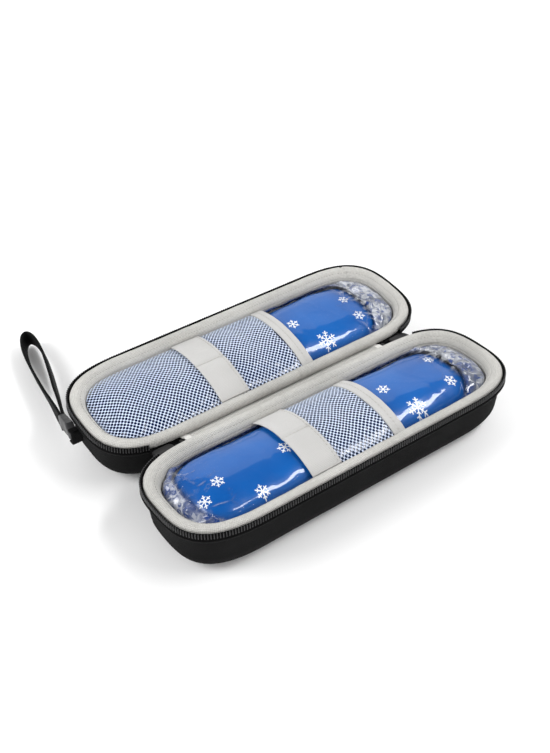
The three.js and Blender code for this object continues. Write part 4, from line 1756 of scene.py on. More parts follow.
        # Mask of loose film, which is painted dark navy as the shade of the gap between the pack and the
        # tray's wall.
        loose = np.clip((reach - start) / 0.07, 0, 1)
        room = 1 - np.clip((-z - top - 3) / 3, 0, 1)
        room *= np.clip((1.12 - reach) / 0.05, 0.25, 1)
        upper = z > -(top + bottom) / 2
        facets = crumple(rows, 5.0, self.seed + 11)
        crush = sizes.film_crush * facets * (0.2 + 0.8 * end) * loose * room
        crush += sizes.film_pucker * np.abs(facets) * end * (1 - loose)
        lift = np.where(upper, self.lumps(rows) * (1 - loose) + crush, 0)
        mesh = skin(self.under_net(swollen(rows, lift), sizes.film_gap), Ends.PAIRED)
        # The next two masks say where painted silver and highlights go, more at the right end than at the
        # left, and where painted glints go along crease lines.
        painted_silver = end * np.where(x > 0, 1.0, 0.45)
        crease = np.clip((beyond - (pack.half_length - 24)) / 12, 0, 1)
        # Mask of the painted shade under the net.
        net_shade = (x > self.plan.net_start + 1) & (x < self.plan.hem_start + 1) & upper
        for name, mask in zip(FilmFinish.MASKS, (loose, painted_silver, crease, net_shade)):
            values = mesh.attributes.new(name, "FLOAT", "POINT")
            values.data.foreach_set("value", mask.astype(np.float32).ravel())
        return mesh

    def under_net(self, points: np.ndarray, gap: float) -> np.ndarray:
        """Holds points down below the net and the elastics.

        Args:
            points: points by row and step.
            gap: distance that they keep from the net's underside.

        Returns:
            The points, none of them above the net.
        """
        sizes = self.sizes
        x, y, z = np.moveaxis(points, 2, 0)
        ceiling = self.net_height(y / sizes.strip_half, x) + self.rise(x, y) - gap
        start = min(self.plan.net_start, self.plan.band_start) - 2
        held = (x > start) & (x < self.plan.hem_start + sizes.hem_width + 2)
        return np.dstack([x, y, np.where(held, np.minimum(z, ceiling), z)])

    def net_height(self, across: np.ndarray, along: np.ndarray) -> np.ndarray:
        """Finds the height of the net's underside on a pack that isn't swollen.

        Args:
            across: place across the tray, from -1 to 1.
            along: place along the case.

        Returns:
            Heights from the rim's plane.
        """
        sizes = self.sizes
        end = np.maximum(0, np.abs(along) - (sizes.net_reach - sizes.net_slope)) / sizes.net_slope
        return -sizes.net_middle - sizes.net_drop * (1 - (1 - across**2) * (1 - np.minimum(end, 1) ** 2))

    def strip(self, start: float, width: float, thick: float, lift: float, dip: float) -> Mesh:
        """Makes an elastic that is stretched over the pack from side to side.

        Args:
            start: where it starts along the case.
            width: its width along the case.
            thick: its thickness.
            lift: height of its underside over the net's.
            dip: how far a seam across its middle draws it down.

        Returns:
            The elastic's mesh.
        """
        corners = rounded_section(width, thick, thick * 0.42, 4)
        ease = np.linspace(-1, 1, 9)[1:-1] * (width / 2 - thick * 0.45)
        upper = np.column_stack([ease[::-1], np.full(7, thick / 2)])
        lower = np.column_stack([ease, np.full(7, -thick / 2)])
        section = np.concatenate([corners[:4], upper, corners[4:12], lower, corners[12:]])
        across = np.linspace(-1, 1, 73)
        y = across * self.sizes.strip_half
        middle = start + width / 2
        height = self.net_height(across, start) + self.rise(middle, y) + lift + thick / 2
        height -= dip * np.exp(-((y / 1.1) ** 2))
        rows = np.array([[(middle + x, y[i], height[i] + z) for x, z in section] for i in range(len(y))])
        pucker = 0.13 * wrinkle(rows, (9, 5, 50), self.seed + 21)
        rows[:, :, 2] += pucker + 0.06 * wrinkle(rows, (40, 1.6, 50), self.seed)
        return skin(rows, Ends.FAN)

    def tray_share(self, x: np.ndarray, y: np.ndarray) -> np.ndarray:
        """Finds how near places are to the tray's wall.

        Args:
            x: places along the case.
            y: places across it.

        Returns:
            Shares from 0 on the tray's middle line to 1 at its wall.
        """
        sizes = self.sizes
        power = sizes.end_power
        inset = self.outline.half_width - sizes.strip_half
        past = np.maximum(0, np.abs(x) - (self.outline.half_length - sizes.end_length))
        long = past / (sizes.end_length - inset)
        return (long**power + np.abs(y / sizes.strip_half) ** power) ** (1 / power)

    def cut_net(self, mesh: Mesh, start: float, end: float) -> None:
        """Cuts the flat net along the tray's wall and closes its cut edges.

        Args:
            mesh: the net, from a lattice that is larger than the tray.
            start: where the net starts along the case, unless its end is round.
            end: where it ends.
        """
        straight = self.outline.half_length - self.sizes.end_length
        if start < -straight:
            start = -math.inf

        def spot(vertex: bmesh.types.BMVert) -> Pair:
            """Finds a key for the place over or under which a point lies."""
            return (round(vertex.co.x, 6), round(vertex.co.y, 6))

        cut = bmesh.new()
        cut.from_mesh(mesh)
        outside = {}
        for vertex in cut.verts:
            x, y = vertex.co.x / MM, vertex.co.y / MM
            share = float(self.tray_share(x, y))
            if share > 1 or not start <= x <= end:
                outside[vertex] = max(share, 1.0)
        gone = [face for face in cut.faces if all(vertex in outside for vertex in face.verts)]
        bmesh.ops.delete(cut, geom=gone, context="FACES")
        edges = [edge for edge in cut.edges if len(edge.link_faces) == 1]
        below = {spot(vertex): vertex for edge in edges for vertex in edge.verts if vertex.co.z < 0}
        for edge in edges:
            if max(vertex.co.z for vertex in edge.verts) > 0:
                corner = edge.link_loops[0]
                upper = (corner.link_loop_next.vert, corner.vert)
                lower = [below[spot(vertex)] for vertex in reversed(upper) if vertex.co.z > 0]
                cut.faces.new((*upper, *lower))
        for vertex, share in outside.items():
            if vertex.is_valid:
                x = vertex.co.x / MM
                if abs(x) > straight:
                    x = math.copysign(straight + (abs(x) - straight) / share, x)
                vertex.co = (min(max(x, start), end) * MM, vertex.co.y / share, vertex.co.z)
        cut.to_mesh(mesh)
        cut.free()

    def net(self) -> Mesh:
        """Makes the net, which is drawn over the pack and cut along the tray's wall.

        Returns:
            The net's mesh.
        """
        sizes = self.sizes
        pitch = sizes.net_pitch
        start, end = self.plan.net_start, self.plan.hem_start - sizes.net_gap
        columns = math.ceil((end - start) / (pitch / 2)) + 2
        lines = math.ceil(2 * sizes.strip_half / pitch) + 1
        cell = net_cell(pitch, sizes.net_hole, sizes.net_thick)
        mesh = self.repeats.net(columns * pitch / 2, lines * pitch, pitch, cell, self.palette["net_thread"])
        self.cut_net(moved(mesh, (start + end) / 2, 0, 0), start, end)
        points = np.zeros(len(mesh.vertices) * 3)
        mesh.vertices.foreach_get("co", points)
        x, y, z = points.reshape(-1, 3).T / MM
        across = np.clip(y / sizes.strip_half, -1, 1)
        flat = np.column_stack([x, y, np.zeros(len(x))])
        z += self.net_height(across, x) + self.rise(x, y) + sizes.net_thick / 2 + sizes.net_lift
        z += sizes.net_wave * wrinkle(flat, (7, 26, 9), self.seed + 31) * (1 - across**2)
        sway = sizes.net_sway * (1 - np.minimum(self.tray_share(x, y), 1) ** 4)
        x = x + sway * wrinkle(flat, (22, 13, 9), self.seed + 33)
        y = y + sway * wrinkle(flat, (13, 22, 9), self.seed + 37)
        mesh.vertices.foreach_set("co", (np.column_stack([x, y, z]) * MM).ravel())
        mesh.update()
        return mesh

    def elastics(self, film: Piece) -> None:
        """Builds the net, its hem, the wide band and their stitches.

        Args:
            film: the film that they lie on; not used.
        """
        sizes = self.sizes
        hem_start, band_start = self.plan.hem_start, self.plan.band_start
        strip = self.strip(hem_start, sizes.hem_width, sizes.hem_thick, 0.0, 0.0)
        hem = self.piece("hem_elastic", strip, "grey_elastic", "grey_fabric", "net_hem")
        net = self.piece("net_cloth", self.net(), "net_thread", "white_net", "mesh_net")
        strip = self.strip(band_start, sizes.band_width, sizes.band_thick, sizes.band_lift, sizes.seam_dip)
        band = self.piece("band_elastic", strip, "grey_elastic", "grey_fabric", "wide_band")
        band_end = band_start + sizes.band_width
        band_top = sizes.band_lift + sizes.band_thick
        across = np.linspace(-0.93, 0.93, 60)
        y = across * sizes.strip_half
        paths = []
        for x, top in (
            (band_end - sizes.band_edge, band_top),
            (hem_start + sizes.hem_width * 0.5, sizes.hem_thick),
        ):
            height = self.net_height(across, x) + self.rise(x, y) + top + sizes.stitch_lift
            paths.append(np.column_stack([np.full(60, x), y, height]))
        seam = self.plan.swell - sizes.net_middle + band_top - sizes.seam_dip + sizes.stitch_lift
        paths.append(np.linspace((band_start + 0.9, 0, seam), (band_end - 0.9, 0, seam), 24))
        finish = self.palette["grey_thread"]
        thread = self.repeats.along(paths, bar(1.7, 0.45, 0.35), sizes.stitch_pitch, finish)
        stitches = self.piece("elastic_stitches", thread, "grey_thread", "grey_fabric")
        self.yielding(net, hem, band, stitches)

    def build(self) -> None:
        """Builds every piece of the half."""
        self.cover()
        self.inside()
        self.rim()
        self.zip()
        self.elastics(self.pack())


@dataclass(frozen=True)
class HingeSizes:
    """Sizes of the fabric hinge and the zip's ends, in millimetres in the hinge strip's own frame."""

    half_length: float = 65.5
    cloth_thick: float = 0.7
    cloth_step: float = 1.5
    line_points: int = 27
    bend_inside: float = 1.8
    bend_outside: float = 0.6
    binding: float = 3.2
    binding_past: float = 0.25
    binding_lift: float = 0.28
    binding_thick: float = 0.75
    chain_start: float = 65.85
    chain_end: float = 80.05
    chain_edge: float = 0.6
    chain_top: float = -1.4
    chain_thick: float = 0.8
    tooth_pitch: float = 1.0
    stop_start: float = 66.85
    stop_length: float = 2.0
    stop_width: float = 5.0
    stop_low: float = -1.05
    stop_high: float = -0.35
    slider_middle: float = 79.0
    slider_length: float = 12.0
    slider_top: float = -0.05
    slider_low: float = -3.55
    plate: float = 1.0
    plate_middle: float = 3.3
    neck_middle: float = 82.8
    bridge_reach: float = 4.0
    bridge_low: float = -6.45
    pull_pivot: float = -4.5
    pull_length: float = 13.0
    pull_width: float = 4.4
    pull_thick: float = 1.2
    stringer_mouth: float = 81.0
    stringer_end: float = 77.0
    stringer_in: float = 1.3
    stringer_bend: float = 1.2
    stringer_points: int = 24


class Hinge:
    """The cloth hinge between the halves, the zip's closed ends, and the sliders with their pulls."""

    def __init__(self, base: Half, lid: Half, joints: dict, palette: Palette, repeats: Repeats) -> None:
        """Finds the strip's place from the two fold lines.

        Args:
            base: the near half.
            lid: the far half.
            joints: the record's joints by name.
            palette: the finishes.
            repeats: the geometry node trees.
        """
        self.sizes = HingeSizes()
        self.base = base
        self.lid = lid
        self.palette = palette
        self.repeats = repeats
        self.near = Vector(joints["spine_fold"]["pos_m"])
        self.far = Vector(joints["lid_fold"]["pos_m"])
        way = self.far - self.near
        self.span = way.length / MM
        self.place = leaning(self.near, math.atan2(way.z, way.y))

    def section(self, points: Sequence[tuple[str, float, float]]) -> np.ndarray:
        """Draws a line across the hinge.

        Args:
            points: frame, place across and height of each point; the frame is base, strip or lid.

        Returns:
            Rows of y and z in the part's frame, in millimetres.
        """
        frames = {"base": self.base.place, "strip": self.place, "lid": self.lid.place}
        spots = [frames[name] @ Vector((0, y * MM, z * MM)) for name, y, z in points]
        return smooth_line([(spot.y / MM, spot.z / MM) for spot in spots], self.sizes.line_points)

    def bend(self, piece: Piece, fold: tuple[str, str], low: float, high: float, slot: str) -> None:
        """Bakes a piece's place into its mesh and logs the two bodies that it lies between.

        Args:
            piece: the piece.
            fold: the bodies.
            low: where across the case the first body stops carrying it whole, in metres; not used.
            high: where the second body starts to; not used.
            slot: the record's finish; not used.
        """
        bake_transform(piece)
        LOG.info("%s bends between %s and %s", piece.name, *fold)

    def cloth(
        self, name: str, line: np.ndarray, thick: float, ends: Pair, finish: str, slot: str, *nodes: str
    ) -> list[Piece]:
        """Builds a strip across the hinge in two pieces, one for each fold.

        Args:
            name: name of the pieces.
            line: the strip's upper side, as rows of y and z.
            thick: its thickness.
            ends: where it starts and ends along the case.
            finish: its finish.
            slot: the record's finish.
            nodes: the solids that it stands for.

        Returns:
            The two pieces.
        """
        sizes = self.sizes
        way = directions(line)
        under = line - np.column_stack([-way[:, 1], way[:, 0]]) * thick
        middle = len(line) // 2
        inside, outside = sizes.bend_inside * MM, sizes.bend_outside * MM
        count = max(3, round((ends[1] - ends[0]) / sizes.cloth_step))
        pieces = []
        for fold, part, low, high in (
            (("base", "spine"), slice(0, middle + 1), self.near.y - outside, self.near.y + inside),
            (("spine", "lid"), slice(middle, None), self.far.y - inside, self.far.y + outside),
        ):
            loop = np.concatenate([line[part], under[part][::-1]])
            places = np.linspace(*ends, count)
            rows = np.array([np.column_stack([np.full(len(loop), x), loop]) for x in places])
            depth = 0.12 * wrinkle(rows, (13, 6, 60), 3.0)
            rows[:, :, 2] += depth * np.sin(np.linspace(0, math.pi, count))[:, None] ** 0.3
            piece = show(f"{name}_{fold[1]}", skin(rows, Ends.FAN), self.palette[finish])
            self.bend(piece, fold, low, high, slot)
            if nodes:
                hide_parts(*nodes)
            pieces.append(piece)
        return pieces

    def strips(self) -> None:
        """Builds the grey lining, the black outer cloth and the bound ends of the hinge."""
        sizes = self.sizes
        edge = self.base.outline.half_width
        span = self.span
        line = self.section([
            ("base", edge - 1.9, -5.75), ("base", edge - 0.5, -5.6), ("strip", 0.5, -0.75),
            ("strip", 2.0, -0.2), ("strip", span / 2, -0.35), ("strip", span - 2.0, -0.2),
            ("strip", span - 0.5, -0.75),
            ("lid", 0.5 - edge, -5.6), ("lid", 1.9 - edge, -5.75),
        ])
        outer = self.section([
            ("base", edge - 1.42, -9.5), ("base", edge - 1.2, -8.2), ("base", edge - 0.4, -7.1),
            ("strip", 1.6, -1.75), ("strip", span / 2, -1.9), ("strip", span - 1.6, -1.75),
            ("lid", 0.4 - edge, -7.1), ("lid", 1.2 - edge, -8.2), ("lid", 1.42 - edge, -9.5),
        ])
        ends = (-sizes.half_length, sizes.half_length)
        thick = sizes.cloth_thick
        lining = self.cloth("hinge_lining", line, thick, ends, "grey_cloth", "grey_fabric", "spine_lining")
        self.cloth("hinge_cover", outer, thick, ends, "black_cover", "black_fabric", "spine_outer")
        raised = line + np.array([0, sizes.binding_lift])
        inner_end, outer_end = sizes.half_length - sizes.binding, sizes.half_length + sizes.binding_past
        for side, ends in (("left", (-outer_end, -inner_end)), ("right", (inner_end, outer_end))):
            name = f"{side}_hinge_binding"
            self.cloth(name, raised, sizes.binding_thick, ends, "pale_binding", "grey_fabric")

    def slider_mesh(self) -> Mesh:
        """Makes a slider: two domed plates on a neck, with an arched bridge under them.

        Returns:
            The slider's mesh in the strip's frame, at the right end.
        """
        sizes = self.sizes
        middle = self.span / 2
        outline = Outline(sizes.slider_length / 2, middle - sizes.chain_edge, 3.4, 3.0)
        crown = [
            (0.5, 0.0), (0.12, 0.06), (0.0, 0.3), (0.0, 0.55), (0.22, 0.82), (0.8, 0.98), (1.8, 1.05),
            (sizes.plate_middle, 1.08),
        ]
        upper_low = sizes.slider_top - sizes.plate
        lower_high = sizes.slider_low + sizes.plate
        upper = [(sizes.plate_middle, upper_low), *[(inset, upper_low + rise) for inset, rise in crown]]
        lower = [(inset, lower_high - rise) for inset, rise in crown[::-1]]
        lower.append((sizes.plate_middle, lower_high))
        plates = [moved(pad(outline, profile), sizes.slider_middle, middle, 0) for profile in (upper, lower)]
        neck = moved(block(1.7, 1.2, lower_high - 0.2, upper_low + 0.2, 0.3), sizes.neck_middle, middle, 0)
        reach = sizes.bridge_reach
        high = sizes.slider_low + 0.4
        low = sizes.bridge_low + 0.5
        foot = [(0.5 - reach, high), (0.55 - reach, low + 1.2), (1.3 - reach, low + 0.1)]
        path = smooth_line([*foot, (0, low - 0.05), *[(-x, z) for x, z in foot[::-1]]], 28)
        rows = np.array([
            [
                (sizes.slider_middle + x - way[1] * out, middle + side, z + way[0] * out)
                for side, out in rounded_section(2.0, 0.95, 0.3)
            ]
            for (x, z), way in zip(path, directions(path))
        ])
        return joined([*plates, neck, skin(rows, Ends.FAN)])

    def pull_mesh(self) -> Mesh:
        """Makes a pull: a flat tab with an eye at its top.

        Returns:
            The pull's mesh in the strip's frame, at the right end.
        """
        sizes = self.sizes
        half = sizes.pull_length / 2
        tab = Outline(half, sizes.pull_width / 2, 2.6, 2.6)
        steps = tab.even_steps(56)
        outer = tab.at(steps)
        inner = Outline(2.1, 1.3, 1.3, 2.4).at(steps) + (half - 3.2, 0)
        side, face = sizes.pull_thick * 5 / 24, sizes.pull_thick / 2
        rows = []
        for loop, grow, height in (
            (outer, 0.0, side), (outer, 0.0, -side), (outer, 0.3, -face), (inner, -0.25, -face),
            (inner, 0.0, -face / 2), (inner, 0.0, face / 2), (inner, -0.25, face), (outer, 0.3, face),
        ):
            way = np.roll(loop, -1, 0) - np.roll(loop, 1, 0)
            way /= np.linalg.norm(way, axis=1, keepdims=True)
            grown = loop + np.column_stack([-way[:, 1], way[:, 0]]) * grow
            rows.append(np.column_stack([np.full(len(grown), height), grown[:, 1], grown[:, 0]]))
        middle = (sizes.slider_middle, self.span / 2, sizes.pull_pivot + 0.55 - half)
        return skin(np.array(rows) + middle, Ends.JOINED)

    def zip_end(self, side: str) -> None:
        """Builds the closed end of the zip on one side, with its stop, slider and pull.

        Args:
            side: left or right.
        """
        sizes = self.sizes
        place = self.place
        if side == "left":
            place = place @ Matrix.Translation((0, self.span * MM, 0)) @ Matrix.Rotation(math.pi, 4, "Z")
        middle = self.span / 2
        section = rounded_section(self.span - 2 * sizes.chain_edge, sizes.chain_thick, 0.3)
        rows = np.array([
            [(x, middle + y, sizes.chain_top - sizes.chain_thick / 2 + z) for y, z in section]
            for x in np.linspace(sizes.chain_start, sizes.chain_end, 20)
        ])
        tooth = bar(3.0, 0.62, 0.95)
        tooth.transform(Matrix.Rotation(math.pi / 2, 4, "Z"))
        height = sizes.chain_top - 0.1
        first, last = sizes.stop_start + 2.6, sizes.chain_end - 1
        path = np.linspace((first, middle, height), (last, middle, height), 12)
        teeth = self.repeats.along([path], tooth, sizes.tooth_pitch, self.palette["zip_teeth"])
        stop = block(sizes.stop_length / 2, sizes.stop_width / 2, sizes.stop_low, sizes.stop_high, 0.25)
        moved(stop, sizes.stop_start + sizes.stop_length / 2, middle, 0)
        slider, pull = f"{side}_slider", f"{side}_pull"
        for name, mesh, finish, body, slot, nodes in (
            ("chain_tape", skin(rows, Ends.FAN), "tape_twill", "spine", "zip_tape", [f"{side}_chain_end"]),
            ("chain_teeth", teeth, "zip_teeth", "spine", "zip_coil", []),
            ("stop_clip", stop, "dark_enamel", "spine", "zip_coil", [f"{side}_chain_stop"]),
            ("slider_body", self.slider_mesh(), "dark_enamel", slider, "slider_metal", [slider]),
            ("pull_tab", self.pull_mesh(), "dark_enamel", pull, "slider_metal", [pull]),
        ):
            carry(show(f"{side}_{name}", mesh, self.palette[finish], place), body, slot, *nodes)

    def stringer(self, name: str, half: Half, sign: int, fold: tuple[str, str], crease: float) -> None:
        """Builds the tape that runs from a half's zip into a slider.

        Args:
            name: the piece's name.
            half: the half.
            sign: 1 for the right end of the case, -1 for the left.
            fold: the bodies that the tape lies between.
            crease: where across the case the fold line lies, in metres.
        """
        sizes = self.sizes
        lean = half.plan.hinge_side
        path = half.zip_path(-0.9, 4.4, 40)
        end = path[0] if np.sign(path[0][0]) == sign else path[-1]
        across = sizes.chain_edge + sizes.stringer_in
        if lean < 0:
            across = self.span - across
        height = sizes.chain_top - sizes.chain_thick / 2
        spots = [half.place @ Vector(end * MM)]
        for x in (sizes.stringer_mouth, sizes.stringer_end):
            spots.append(self.place @ Vector((sign * x * MM, across * MM, height * MM)))
        line = smooth_line([tuple(spot / MM) for spot in spots], sizes.stringer_points)
        turns = np.clip(np.linspace(0, 1.6, sizes.stringer_points), 0, 1) * math.pi / 2
        rows = []
        for spot, turn in zip(line, turns):
            wide = np.array([0, lean * math.sin(turn), math.cos(turn)]) * (1 - 0.25 * turn)
            thin = np.array([0, lean * math.cos(turn), -math.sin(turn)])
            rows.append([spot + wide * a + thin * b for a, b in rounded_section(2.6, 0.7, 0.25)])
        piece = show(name, skin(np.array(rows), Ends.FAN), self.palette["tape_twill"])
        reach = sizes.stringer_bend * MM
        self.bend(piece, fold, crease - reach, crease + reach, "zip_tape")

    def build(self) -> None:
        """Builds every piece of the hinge."""
        self.strips()
        sides = (("left", -1), ("right", 1))
        for side, _ in sides:
            self.zip_end(side)
        for side, sign in sides:
            self.stringer(f"{side}_base_stringer", self.base, sign, ("base", "spine"), self.near.y)
            self.stringer(f"{side}_lid_stringer", self.lid, sign, ("spine", "lid"), self.far.y)


@dataclass(frozen=True)
class StrapSizes:
    """Sizes of the wrist loop, in millimetres and degrees in the strap's own frame."""

    yaw: float = 77.1
    loop_pitch: float = 3.1
    loop_roll: float = 12.0
    loop_twist: float = 30.0
    keeper_length: float = 30.0
    keeper_thick: float = 4.8
    keeper_height: float = 9.0
    keeper_drop: float = 13.2
    tongue_length: float = 4.2
    tongue_height: float = 5.0
    webbing_width: float = 10.0
    webbing_thick: float = 1.6
    webbing_tuck: float = 4.0
    loop_length: float = 123.0
    loop_spread: float = 9.0
    loop_power: float = 3.0
    loop_points: int = 170
    fit: float = 0.35
    anchor_thick: float = 1.0
    anchor_lip: float = 0.5
    ear_fit: float = 0.5


class WristLoop:
    """The webbing loop on the lid's end, its keeper and the tab that holds it."""

    def __init__(self, joints: dict, palette: Palette) -> None:
        """Finds the strap's place from its swing.

        Args:
            joints: the record's joints by name.
            palette: the finishes.
        """
        self.sizes = StrapSizes()
        self.palette = palette
        self.pivot = Vector(joints["strap_swing"]["pos_m"])
        self.place = Matrix.Translation(self.pivot) @ Matrix.Rotation(math.radians(self.sizes.yaw), 4, "Z")

    def anchor(self) -> None:
        """Builds the woven pocket on the lid's end that holds the keeper's tongue."""
        sizes = self.sizes
        side = sizes.keeper_thick / 2
        face = side + sizes.ear_fit
        back = face + sizes.anchor_thick
        ear_face = sizes.tongue_height / 2 + sizes.ear_fit
        top = ear_face + sizes.anchor_thick
        lip = sizes.anchor_lip
        walls = []
        for low, high in (
            ((face, -back, -top), (back, lip, top)),
            ((-side, -back, -top), (back, -face, top)),
            ((-side, -back, -top), (back, lip, -ear_face)),
            ((-side, -back, ear_face), (back, lip, top)),
        ):
            wall = block((high[0] - low[0]) / 2, (high[1] - low[1]) / 2, low[2], high[2], 0.35)
            walls.append(moved(wall, (high[0] + low[0]) / 2, (high[1] + low[1]) / 2, 0))
        place = Matrix.Translation(self.pivot)
        piece = show("anchor_tab", joined(walls), self.palette["webbing_weave"], place)
        carry(piece, "lid", "black_webbing", "strap_anchor")

    def keeper(self) -> None:
        """Builds the smooth keeper: a round tongue, then a sleeve that slopes down to the loop."""
        sizes = self.sizes
        radius = sizes.keeper_thick / 2
        low = sizes.tongue_height / 2
        high = sizes.keeper_height / 2
        tongue = sizes.tongue_length
        slope = sizes.keeper_drop / (sizes.keeper_length - tongue)
        stations = [
            (-radius * math.cos(turn), low - 0.3 * math.cos(turn), radius * math.sin(turn))
            for turn in np.linspace(0.12, math.pi / 2, 6)
        ]
        stations += [
            (2.0, low, radius), (tongue, low, radius), (tongue + 0.7, low + 0.8, radius),
            (tongue + 1.6, high - 0.2, radius), (9.0, high, radius), (15.0, high, radius * 0.97),
            (22.0, high, radius * 0.93), (27.0, high, radius * 0.9), (29.3, high - 0.1, radius * 0.88),
            (29.9, high - 0.5, radius * 0.75), (30.0, high - 1.0, radius * 0.55),
        ]
        turns = np.linspace(0, 2 * math.pi, 36, endpoint=False)
        circle = np.column_stack([np.cos(turns), np.sin(turns)])
        square = np.copysign(np.abs(circle) ** 0.4, circle)
        rows = np.array([
            [(x, wide * y, tall * z - max(0.0, x - tongue) * slope) for y, z in square]
            for x, tall, wide in stations
        ])
        piece = show("keeper_sleeve", skin(rows, Ends.FAN), self.palette["smooth_keeper"], self.place)
        carry(piece, "strap", "keeper", "strap_keeper")

    def webbing(self) -> None:
        """Builds the webbing, a teardrop on edge that starts and ends in the keeper."""
        sizes = self.sizes

        def side(angle: float) -> float:
            """Finds half the loop's width at an angle."""
            return sizes.loop_spread * math.sin(angle) * abs(math.sin(angle / 2)) ** sizes.loop_power

        start = 0.0
        while 2 * side(start) < sizes.webbing_thick + sizes.fit:
            start += 0.01
        turns = np.linspace(start, 2 * math.pi - start, sizes.loop_points)
        path = np.array([(sizes.loop_length / 2 * (1 - math.cos(turn)), side(turn)) for turn in turns])
        path[:, 0] -= path[0, 0]
        tuck = np.array([[sizes.webbing_tuck, 0.0]])
        path = np.concatenate([path[:1] - tuck, path, path[-1:] - tuck])
        section = rounded_section(sizes.webbing_thick, sizes.webbing_width, 0.5, 4)
        rows = []
        for (x, y), way in zip(path, directions(path)):
            share = min(max(x / sizes.loop_twist, 0.0), 1.0)
            turn = Matrix.Rotation(-math.radians(sizes.loop_roll) * share**2 * (3 - 2 * share), 3, "X")
            rows.append([turn @ Vector((x - way[1] * out, y + way[0] * out, up)) for out, up in section])
        rows = np.array(rows)
        rows = swollen(rows, 0.05 * wrinkle(rows, (12, 12, 12), 5.0))
        pitch = math.radians(sizes.loop_pitch)
        gap = sizes.fit + sizes.webbing_width / 2 * math.sin(pitch)
        mouth = Matrix.Translation(((sizes.keeper_length + gap) * MM, 0, -sizes.keeper_drop * MM))
        place = self.place @ mouth @ Matrix.Rotation(pitch, 4, "Y")
        piece = show("webbing_loop", skin(rows, Ends.FAN), self.palette["webbing_weave"], place)
        carry(piece, "strap", "black_webbing", "wrist_strap")

    def build(self) -> None:
        """Builds every piece of the wrist loop."""
        self.anchor()
        self.keeper()
        self.webbing()


@dataclass(frozen=True)
class StudioSizes:
    """Camera in millimetres, with the picture's own frame in pixels, and light and floor in metres."""

    picture_height: float = 753.0
    focal_pixels: float = 1041.0
    sensor: float = 36.0
    camera: tuple[float, float, float] = (-257.5, -319.6, 377.0)
    target: tuple[float, float, float] = (20.87, 80.68, 0.0)
    roll: float = -2.0
    sky_low: float = 2.05
    sky_high: float = 0.08
    gloss_sky: float = 0.02
    lamp_target: tuple[float, float, float] = (0.0, 0.05, 0.02)
    floor_reach: float = 3.0
    floor_height: float = -0.0002
    floor_colour: Colour = (0.94, 0.94, 0.94)
    floor_glow: float = 0.6
    glow_start: float = 0.35
    glow_end: float = 1.2


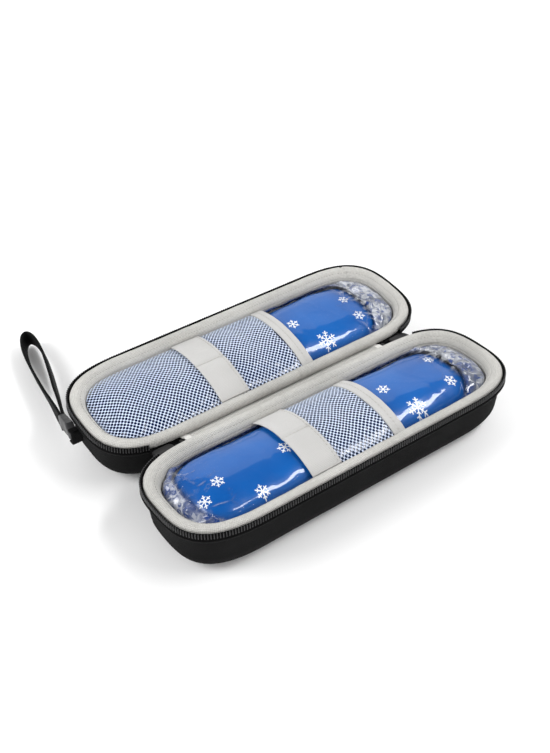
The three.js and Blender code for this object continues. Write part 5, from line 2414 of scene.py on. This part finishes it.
class Studio:
    """Floor, light and camera."""

    def __init__(self) -> None:
        """Takes the studio's sizes."""
        self.sizes = StudioSizes()

    def floor(self) -> None:
        """Builds the pale floor, which keeps the case's shadow."""
        sizes = self.sizes
        mesh = bpy.data.meshes.new("floor")
        corners = ((-1, -1), (1, -1), (1, 1), (-1, 1))
        points = [(x * sizes.floor_reach, y * sizes.floor_reach, sizes.floor_height) for x, y in corners]
        mesh.from_pydata(points, [], [(0, 1, 2, 3)])
        surface = Surface("floor_paper")
        wiring = surface.wiring
        seen = wiring.add("ShaderNodeLightPath").outputs["Is Camera Ray"]
        away = wiring.add("ShaderNodeVectorMath", {0: surface.place()}, operation="LENGTH").outputs["Value"]
        glow = wiring.spread(away, sizes.glow_start, sizes.glow_end, 0, sizes.floor_glow)
        surface.set({
            "Base Color": sizes.floor_colour,
            "Roughness": 0.9,
            "Specular IOR Level": 0.1,
            "Emission Color": (1.0, 1.0, 1.0),
            "Emission Strength": wiring.math("MULTIPLY", seen, glow),
        })
        mesh.materials.append(surface.material)
        floor = bpy.data.objects.new("floor", mesh)
        bpy.context.scene.collection.objects.link(floor)

    def sky(self) -> None:
        """Sets a sky that is white where it is seen, pale low down, and faint in gloss."""
        world = bpy.data.worlds.new("studio")
        world.use_nodes = True
        bpy.context.scene.world = world
        world.node_tree.nodes.clear()
        wiring = Wiring(world.node_tree)
        path = wiring.add("ShaderNodeLightPath").outputs
        seen = wiring.math("MAXIMUM", path["Is Camera Ray"], path["Is Transmission Ray"])
        upward = wiring.parts(wiring.add("ShaderNodeTexCoord").outputs["Generated"])[2]
        soft = wiring.spread(upward, 0, 1, self.sizes.sky_low, self.sizes.sky_high)
        glossy = path["Is Glossy Ray"]
        strength = wiring.math(
            "ADD",
            wiring.math("MULTIPLY", soft, wiring.math("SUBTRACT", 1.0, glossy)),
            wiring.math("MULTIPLY", glossy, self.sizes.gloss_sky),
        )
        dim, white = (
            wiring.add("ShaderNodeBackground", {"Color": (1, 1, 1, 1), "Strength": value}).outputs[0]
            for value in (strength, 1.0)
        )
        mixed = wiring.add("ShaderNodeMixShader", {0: seen, 1: dim, 2: white}).outputs[0]
        wiring.add("ShaderNodeOutputWorld", {"Surface": mixed})

    def lamps(self) -> None:
        """Sets three soft lamps."""
        for name, spot, long, wide, power in (
            ("key", (-0.8, 0.3, 0.66), 0.5, 0.5, 5.2),
            ("back", (0.545, 0.83, 0.58), 1.7, 0.8, 3.0),
            ("strip", (0.45, -0.33, 0.84), 0.7, 0.15, 5.0),
        ):
            lamp = bpy.data.lights.new(name, "AREA")
            lamp.shape = "RECTANGLE"
            lamp.size = long
            lamp.size_y = wide
            lamp.energy = power
            thing = bpy.data.objects.new(name, lamp)
            thing.location = spot
            way = Vector(self.sizes.lamp_target) - Vector(spot)
            thing.rotation_euler = way.to_track_quat("-Z", "Y").to_euler()
            bpy.context.scene.collection.objects.link(thing)

    def camera(self) -> None:
        """Sets the camera at the picture's viewing angle."""
        sizes = self.sizes
        data = bpy.data.cameras.new("camera")
        data.sensor_width = sizes.sensor
        data.lens = sizes.sensor * sizes.focal_pixels / sizes.picture_height
        data.clip_start = 0.01
        data.clip_end = 50
        spot = Vector(sizes.camera) * MM
        way = Vector(sizes.target) * MM - spot
        roll = Matrix.Rotation(math.radians(sizes.roll), 3, "Z").to_quaternion()
        thing = bpy.data.objects.new("camera", data)
        thing.location = spot
        thing.rotation_mode = "QUATERNION"
        thing.rotation_quaternion = way.to_track_quat("-Z", "Y") @ roll
        bpy.context.scene.collection.objects.link(thing)
        bpy.context.scene.camera = thing

    def build(self) -> None:
        """Builds the studio."""
        self.floor()
        self.sky()
        self.lamps()
        self.camera()
        bpy.context.scene.view_settings.view_transform = "Standard"


def main() -> None:
    """Builds the studio and every piece."""
    logging.basicConfig(level=logging.INFO, format="%(message)s")
    record = frame["record"]
    mounts = {mount["name"]: mount for mount in record["mounts"]}
    joints = {joint["name"]: joint for joint in frame["joints"]}
    Studio().build()
    palette = Palette()
    repeats = Repeats()
    base_plan = HalfPlan(
        name="base",
        hinge_side=1,
        net_start=-30.5,
        band_start=-32.5,
        hem_start=20.0,
        swell=3.9,
        seams=((-9.3, 1),),
        small_flakes=(
            (-73.4, -3.5, 3.7, 8), (-58.4, -19.5, 3.7, 25), (-84.6, -9.2, 3.6, 12), (-33.4, -3.6, 4.0, 40),
            (35.2, 1.5, 3.7, 20), (70.1, -13.2, 3.7, 33), (72.8, 7.4, 3.2, 15),
        ),
        big_flakes=((42.1, -18.2, 6.0, 5),),
    )
    lid_plan = HalfPlan(
        name="lid",
        hinge_side=-1,
        net_start=-96.4,
        band_start=-35.0,
        hem_start=19.2,
        swell=2.6,
        seams=((12.1, -1), (89.3, 1)),
        small_flakes=((32.7, 2.2, 3.7, 14), (71.0, -11.2, 3.7, 28), (71.6, 4.3, 3.2, 42)),
        big_flakes=((42.4, -17.3, 6.0, 6),),
    )
    base = Half(base_plan, mounts["base_rest_face"], palette, repeats)
    lid = Half(lid_plan, mounts["lid_outer_face"], palette, repeats)
    base.build()
    lid.build()
    Hinge(base, lid, joints, palette, repeats).build()
    WristLoop(joints, palette).build()


if __name__ == "__main__":
    main()
